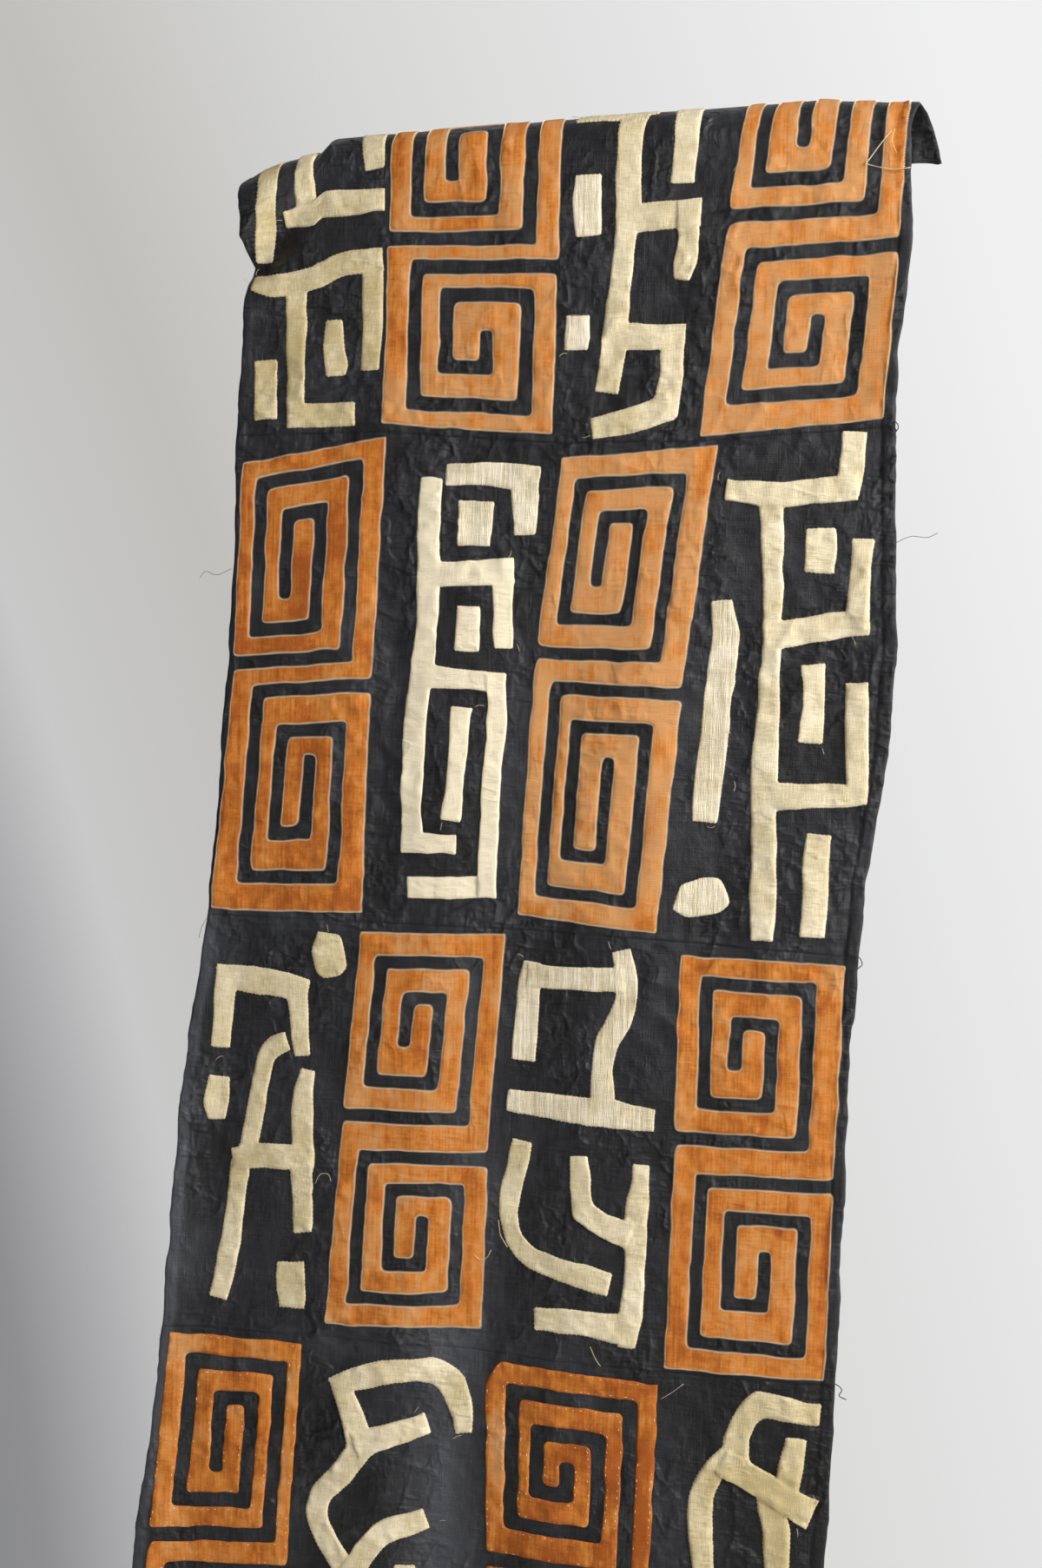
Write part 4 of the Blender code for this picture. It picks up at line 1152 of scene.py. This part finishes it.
def undyed_raffia(name, colour, ribs):
    """Undyed shapes: straw-coloured fibres side by side, each its own shade, with ribs along them."""
    wiring = Wiring(name)
    warp, weft = wiring.noise(1200, 90), wiring.noise(90, 1200)
    bands = wiring.noise(12, 260, 3)
    clouds = wiring.noise(22, 22, 4, 0.6)
    shade = wiring.within(warp, 0.3, 0.7, -0.26, 0.26)
    shade = wiring.sum("ADD", shade, wiring.within(weft, 0.3, 0.7, -0.18, 0.18))
    shade = wiring.sum("ADD", shade, wiring.within(clouds, 0.3, 0.7, -0.32, 0.32))
    shade = wiring.sum("ADD", shade, wiring.within(bands, 0.3, 0.7, -0.08, 0.08))
    streak = 0.12 * ribs
    shade = wiring.sum("ADD", shade, wiring.within(wiring.noise(300, 7), 0.3, 0.7, -streak, streak))
    shade = wiring.sum("ADD", shade, wiring.sum("SUBTRACT", 0.70, tone_of(wiring)))
    dark = (colour[0] * 0.62, colour[1] * 0.56, colour[2] * 0.37, 1.0)
    mixed = wiring.blend(wiring.within(shade, -0.15, 0.75), dark, opaque(colour, 1.04))
    wiring.join(mixed, wiring.shader.inputs["Base Color"])
    wiring.shader.inputs["Roughness"].default_value = 0.72
    wiring.shader.inputs["Specular IOR Level"].default_value = 0.35
    height = wiring.sum("ADD", wiring.sum("MULTIPLY", warp, 1.0 + ribs), weft)
    height = wiring.sum("ADD", height, wiring.sum("MULTIPLY", wiring.interlaced(0.0012), 0.4))
    height = wiring.sum("ADD", height, wiring.sum("MULTIPLY", wiring.noise(300, 7), 1.5 * ribs))
    height = wiring.sum("ADD", height, wiring.sum("MULTIPLY", wiring.noise(62, 92, 3), 6.5 - ribs))
    slack = wiring.within(wiring.noise(13, 10, 2), 0.40, 0.58, 0.0, 2.6 - ribs)
    height = wiring.sum("ADD", height, wiring.sum("MULTIPLY", wiring.ridges(18, 46), slack))
    wiring.bump(height, 0.0004, 0.95)
    return wiring.material


def thread_material(name, colour):
    material = bpy.data.materials.new(name)
    material.use_nodes = True
    tree = material.node_tree
    shader = tree.nodes["Principled BSDF"]
    place = tree.nodes.new("ShaderNodeTexCoord")
    noise = tree.nodes.new("ShaderNodeTexNoise")
    noise.inputs["Scale"].default_value = 160
    ramp = tree.nodes.new("ShaderNodeMapRange")
    ramp.inputs["From Min"].default_value, ramp.inputs["From Max"].default_value = 0.3, 0.7
    mix = tree.nodes.new("ShaderNodeMix")
    mix.data_type = "RGBA"
    mix.inputs[6].default_value = opaque(colour, 0.62)
    mix.inputs[7].default_value = opaque(colour, 1.08)
    tree.links.new(place.outputs["Object"], noise.inputs["Vector"])
    tree.links.new(noise.outputs["Fac"], ramp.inputs["Value"])
    tree.links.new(ramp.outputs[0], mix.inputs[0])
    tree.links.new(mix.outputs[2], shader.inputs["Base Color"])
    shader.inputs["Roughness"].default_value = 0.7
    return material


# Each piece on its node

def dress(piece, material, nodes=()):
    """Gives a finished piece its material and its place in the part."""
    piece.data.materials.append(material)
    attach(piece, "root")
    if nodes:
        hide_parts(*nodes)
    return piece


def row_of(name):
    return int(name.split("_")[1][0])


class RAFFIA_OT_black_panels(Operator):
    """Weaves the four black panels with their hems and seams"""

    bl_idname = "raffia.black_panels"
    bl_label = "Black panels"

    def execute(self, context):
        material = black_raffia()
        for number in range(1, PANEL_COUNT + 1):
            dress(black_panel(number), material, [f"panel_{number}"])
        return {"FINISHED"}


def block_ring(name, step):
    outline, in_slot = spiral_outline(*SPIRALS[name], TURNED_CORNERS.get(name))
    return cut_line(rounded_outline(outline, in_slot), step, 400 + row_of(name))


def stroke_polygon(stroke):
    lefts, rights = band_sides(stroke)
    return rights + lefts[::-1]


def cream_ring(name, step):
    outline = union_outline([stroke_polygon(stroke) for stroke in CREAMS[name]])
    return cut_line(rounded_outline(outline), step, 500 + row_of(name))


def strip_rings(name):
    """The outlines of the strips that are laid over a cream shape."""
    chosen = [CREAMS[name][k] for k in LAID_OVER.get(name, ())]
    return [cut_line(stroke_polygon(stroke), STRIP_STEP, 500 + row_of(name)) for stroke in chosen]


class RAFFIA_OT_orange_blocks(Operator):
    """Cuts the orange double spirals and sews them on"""

    bl_idname = "raffia.orange_blocks"
    bl_label = "Orange blocks"

    def execute(self, context):
        material = orange_raffia()
        for name in SPIRALS:
            ripple = RIPPLED.get(name, 1.0)
            ring = block_ring(name, CUT_STEP)
            piece = patch(name.replace("spiral", "orange"), ring, 0.35, DYE[name], ripple=ripple)
            dress(piece, material, [name])
        return {"FINISHED"}


class RAFFIA_OT_cream_shapes(Operator):
    """Cuts the cream shapes and sews them on"""

    bl_idname = "raffia.cream_shapes"
    bl_label = "Cream shapes"

    def execute(self, context):
        cream = undyed_raffia("cream_raffia", dyes().cream, 0.5)
        pale = undyed_raffia("pale_raffia", dyes().pale, 2.2)
        for name, straw in STRAW.items():
            ripple = RIPPLED.get(name, 1.0)
            ring = cream_ring(name, CUT_STEP)
            piece = patch(f"{name}_cloth", ring, 0.45, straw, strip_rings(name), ripple)
            material, slot = (pale, "pale_raffia") if name in PALE else (cream, "cream_raffia")
            dress(piece, material, [name])
        return {"FINISHED"}


class RAFFIA_OT_stitches(Operator):
    """Sews the blocks and shapes down with thread"""

    bl_idname = "raffia.stitches"
    bl_label = "Stitches"

    def execute(self, context):
        thread = thread_material("pale_thread", dyes().thread)
        white = thread_material("white_thread", WHITE_THREAD)
        for name in SPIRALS:
            ring = block_ring(name, SEWING_STEP)
            short = name.replace("spiral_", "")
            if name in RUNNING_SEWN:
                dress(running(f"running_{short}", ring), white)
            else:
                dress(overcast(f"overcast_{short}", ring), thread)
        for number in range(1, PANEL_COUNT + 1):
            rings = [cream_ring(name, SEWING_STEP) for name in CREAMS if row_of(name) == number]
            paths = [hem_tacks(ring) for ring in rings]
            tacks = tubes(f"tacks_{number}", np.concatenate(paths), settings().stitch_thick * 0.6)
            dress(tacks, thread)
        return {"FINISHED"}


class RAFFIA_OT_loose_threads(Operator):
    """Adds frayed thread ends, loose threads and the knots at the seams' ends"""

    bl_idname = "raffia.loose_threads"
    bl_label = "Loose threads"

    def execute(self, context):
        straw = thread_material("straw_thread", STRAW_THREAD)
        dark = thread_material("dark_thread", DARK_THREAD)
        dress(tubes("frayed_ends", thread_paths(THREADS), FRAYED_THICK), straw)
        dress(tubes("straws", loose_paths(STRAWS), STRAW_THICK), straw)
        dress(tubes("crossed_straws", loose_paths(CROSSED_STRAWS), CROSSED_THICK), straw)
        dress(tubes("dark_threads", loose_paths(LOOSE_THREADS), LOOSE_THICK), dark)
        dress(tubes("knots", loose_paths(KNOTS), KNOT_THICK), dark)
        return {"FINISHED"}


class RAFFIA_OT_declare(Operator):
    """Reads where each hung sheet's seams cross the middle, and does nothing with them"""

    bl_idname = "raffia.declare_sheets"
    bl_label = "Declare sheets"

    def execute(self, context):
        middle = np.zeros(1)
        for number in range(1, PANEL_COUNT + 1):
            top, bottom = seam_s(number - 1, middle)[0], seam_s(number, middle)[0]
        return {"FINISHED"}


# Stage

def area_light(name, place, aim, size, power, colour):
    light = bpy.data.lights.new(name, "AREA")
    light.shape = "SQUARE"
    light.size = size
    light.energy = power
    light.color = colour
    lamp = bpy.data.objects.new(name, light)
    lamp.location = place
    lamp.rotation_euler = (Vector(aim) - Vector(place)).to_track_quat("-Z", "Y").to_euler()
    bpy.context.scene.collection.objects.link(lamp)


# Brightness of the room by direction: how far to the right (-1 to 1), then red, green and blue
ROOM_BEHIND = (
    (-1.0, (0.20, 0.20, 0.21)),
    (-0.62, (0.20, 0.205, 0.22)),
    (-0.54, (0.27, 0.27, 0.28)),
    (-0.50, (0.44, 0.44, 0.45)),
    (-0.47, (0.58, 0.58, 0.58)),
    (-0.38, (0.53, 0.52, 0.50)),
    (-0.25, (0.68, 0.68, 0.67)),
    (0.0, (0.87, 0.87, 0.88)),
    (1.0, (1.0, 1.0, 1.0)),
)
ROOM_IN_FRONT = (
    (-1.0, (0.15, 0.16, 0.18)),
    (-0.3, (0.24, 0.25, 0.27)),
    (0.2, (0.42, 0.42, 0.42)),
    (0.7, (0.85, 0.85, 0.84)),
    (1.0, (1.0, 1.0, 1.0)),
)


def pale_room():
    """Soft light from all round, brighter to the right and dimmer in front of the cloth."""
    world = bpy.data.worlds.new("pale_room")
    world.use_nodes = True
    tree = world.node_tree

    def ramp_of(stops, rightward):
        spread = tree.nodes.new("ShaderNodeMapRange")
        spread.inputs["From Min"].default_value, spread.inputs["From Max"].default_value = -1.0, 1.0
        ramp = tree.nodes.new("ShaderNodeValToRGB")
        for k, (at, colour) in enumerate(stops):
            stop = ramp.color_ramp.elements[k] if k < 2 else ramp.color_ramp.elements.new((at + 1) / 2)
            stop.position, stop.color = (at + 1) / 2, (*colour, 1)
        tree.links.new(rightward, spread.inputs["Value"])
        tree.links.new(spread.outputs[0], ramp.inputs[0])
        return ramp.outputs[0]

    where = tree.nodes.new("ShaderNodeTexCoord")
    parts = tree.nodes.new("ShaderNodeSeparateXYZ")
    tree.links.new(where.outputs["Generated"], parts.inputs[0])
    lower = tree.nodes.new("ShaderNodeMath")
    lower.operation = "MULTIPLY_ADD"
    lower.inputs[1].default_value = 0.3
    tree.links.new(parts.outputs[2], lower.inputs[0])
    tree.links.new(parts.outputs[0], lower.inputs[2])
    front = tree.nodes.new("ShaderNodeMapRange")
    front.inputs["From Min"].default_value, front.inputs["From Max"].default_value = 0.4, -0.1
    tree.links.new(parts.outputs[1], front.inputs["Value"])
    mix = tree.nodes.new("ShaderNodeMix")
    mix.data_type = "RGBA"
    tree.links.new(front.outputs[0], mix.inputs[0])
    tree.links.new(ramp_of(ROOM_BEHIND, lower.outputs[0]), mix.inputs[6])
    tree.links.new(ramp_of(ROOM_IN_FRONT, parts.outputs[0]), mix.inputs[7])
    tree.links.new(mix.outputs[2], tree.nodes["Background"].inputs["Color"])
    return world


class StageSettings(PropertyGroup):
    """Camera, floor and light"""

    eye: FloatVectorProperty(
        name="Camera place", description="Where the camera stands",
        default=(0.5691, -2.1788, -0.6048), subtype="TRANSLATION", unit="LENGTH")
    turn: FloatProperty(
        name="Turn", description="How far the camera turns to its left",
        default=math.radians(15.5), subtype="ANGLE", unit="ROTATION")
    tilt: FloatProperty(
        name="Tilt", description="How far the camera looks up",
        default=math.radians(-1.9), subtype="ANGLE", unit="ROTATION")
    roll: FloatProperty(
        name="Roll", description="How far the camera leans",
        default=math.radians(1.25), subtype="ANGLE", unit="ROTATION")
    floor_z: FloatProperty(
        name="Floor height", description="Height of the floor under the cloth",
        default=-2.35, subtype="DISTANCE", unit="LENGTH")


class RAFFIA_OT_stage(Operator):
    """Sets the camera, the pale floor and the soft light"""

    bl_idname = "raffia.stage"
    bl_label = "Stage"

    def execute(self, context):
        stage = context.scene.raffia_stage
        camera_data = bpy.data.cameras.new("camera")
        camera_data.sensor_fit = "VERTICAL"
        camera_data.sensor_height = 36
        camera_data.lens = 50
        camera = bpy.data.objects.new("camera", camera_data)
        turn = Matrix.Rotation(stage.turn, 4, "Z") @ Matrix.Rotation(math.pi / 2 + stage.tilt, 4, "X")
        camera.matrix_world = Matrix.Translation(stage.eye) @ turn @ Matrix.Rotation(stage.roll, 4, "Z")
        context.scene.collection.objects.link(camera)
        context.scene.camera = camera
        bpy.ops.object.select_all(action="DESELECT")
        middle = (0, 0, stage.floor_z)
        bpy.ops.mesh.primitive_circle_add(vertices=96, radius=2.2, fill_type="NGON", location=middle)
        floor = context.object
        floor.name = "floor"
        bpy.ops.object.transform_apply(location=True, rotation=True, scale=True)
        paint = bpy.data.materials.new("pale_floor")
        paint.use_nodes = True
        shader = paint.node_tree.nodes["Principled BSDF"]
        shader.inputs["Base Color"].default_value = (0.78, 0.77, 0.75, 1)
        shader.inputs["Roughness"].default_value = 0.9
        floor.data.materials.append(paint)
        area_light("key", (2.6, -1.7, 0.35), (-0.05, 0, -0.8), 0.9, 165, (1.0, 0.985, 0.96))
        context.scene.world = pale_room()
        context.scene.view_settings.view_transform = "Standard"
        return {"FINISHED"}


STEPS = (
    RAFFIA_OT_black_panels, RAFFIA_OT_orange_blocks, RAFFIA_OT_cream_shapes, RAFFIA_OT_stitches,
    RAFFIA_OT_loose_threads, RAFFIA_OT_declare, RAFFIA_OT_stage,
)


class RAFFIA_PT_sidebar(Panel):
    """Sizes, colours and steps of the raffia cloth"""

    bl_idname = "RAFFIA_PT_sidebar"
    bl_label = "Raffia cloth"
    bl_space_type = "VIEW_3D"
    bl_region_type = "UI"
    bl_category = "Raffia cloth"

    def draw(self, context):
        scene = context.scene
        for group in (scene.raffia_cloth, scene.raffia_dyes, scene.raffia_stage):
            box = self.layout.box()
            for key in group.bl_rna.properties.keys():
                if key not in ("rna_type", "name"):
                    box.prop(group, key)
        for step in STEPS:
            self.layout.operator(step.bl_idname)


CLASSES = (ClothSettings, DyeSettings, StageSettings, *STEPS, RAFFIA_PT_sidebar)


def register():
    for each in CLASSES:
        bpy.utils.register_class(each)
    bpy.types.Scene.raffia_cloth = PointerProperty(type=ClothSettings)
    bpy.types.Scene.raffia_dyes = PointerProperty(type=DyeSettings)
    bpy.types.Scene.raffia_stage = PointerProperty(type=StageSettings)


def unregister():
    del bpy.types.Scene.raffia_cloth, bpy.types.Scene.raffia_dyes, bpy.types.Scene.raffia_stage
    for each in reversed(CLASSES):
        bpy.utils.unregister_class(each)


def main():
    register()
    bpy.ops.object.select_all(action="DESELECT")
    bpy.ops.raffia.black_panels()
    bpy.ops.raffia.orange_blocks()
    bpy.ops.raffia.cream_shapes()
    bpy.ops.raffia.stitches()
    bpy.ops.raffia.loose_threads()
    bpy.ops.raffia.declare_sheets()
    bpy.ops.raffia.stage()


if __name__ == "__main__":
    main()
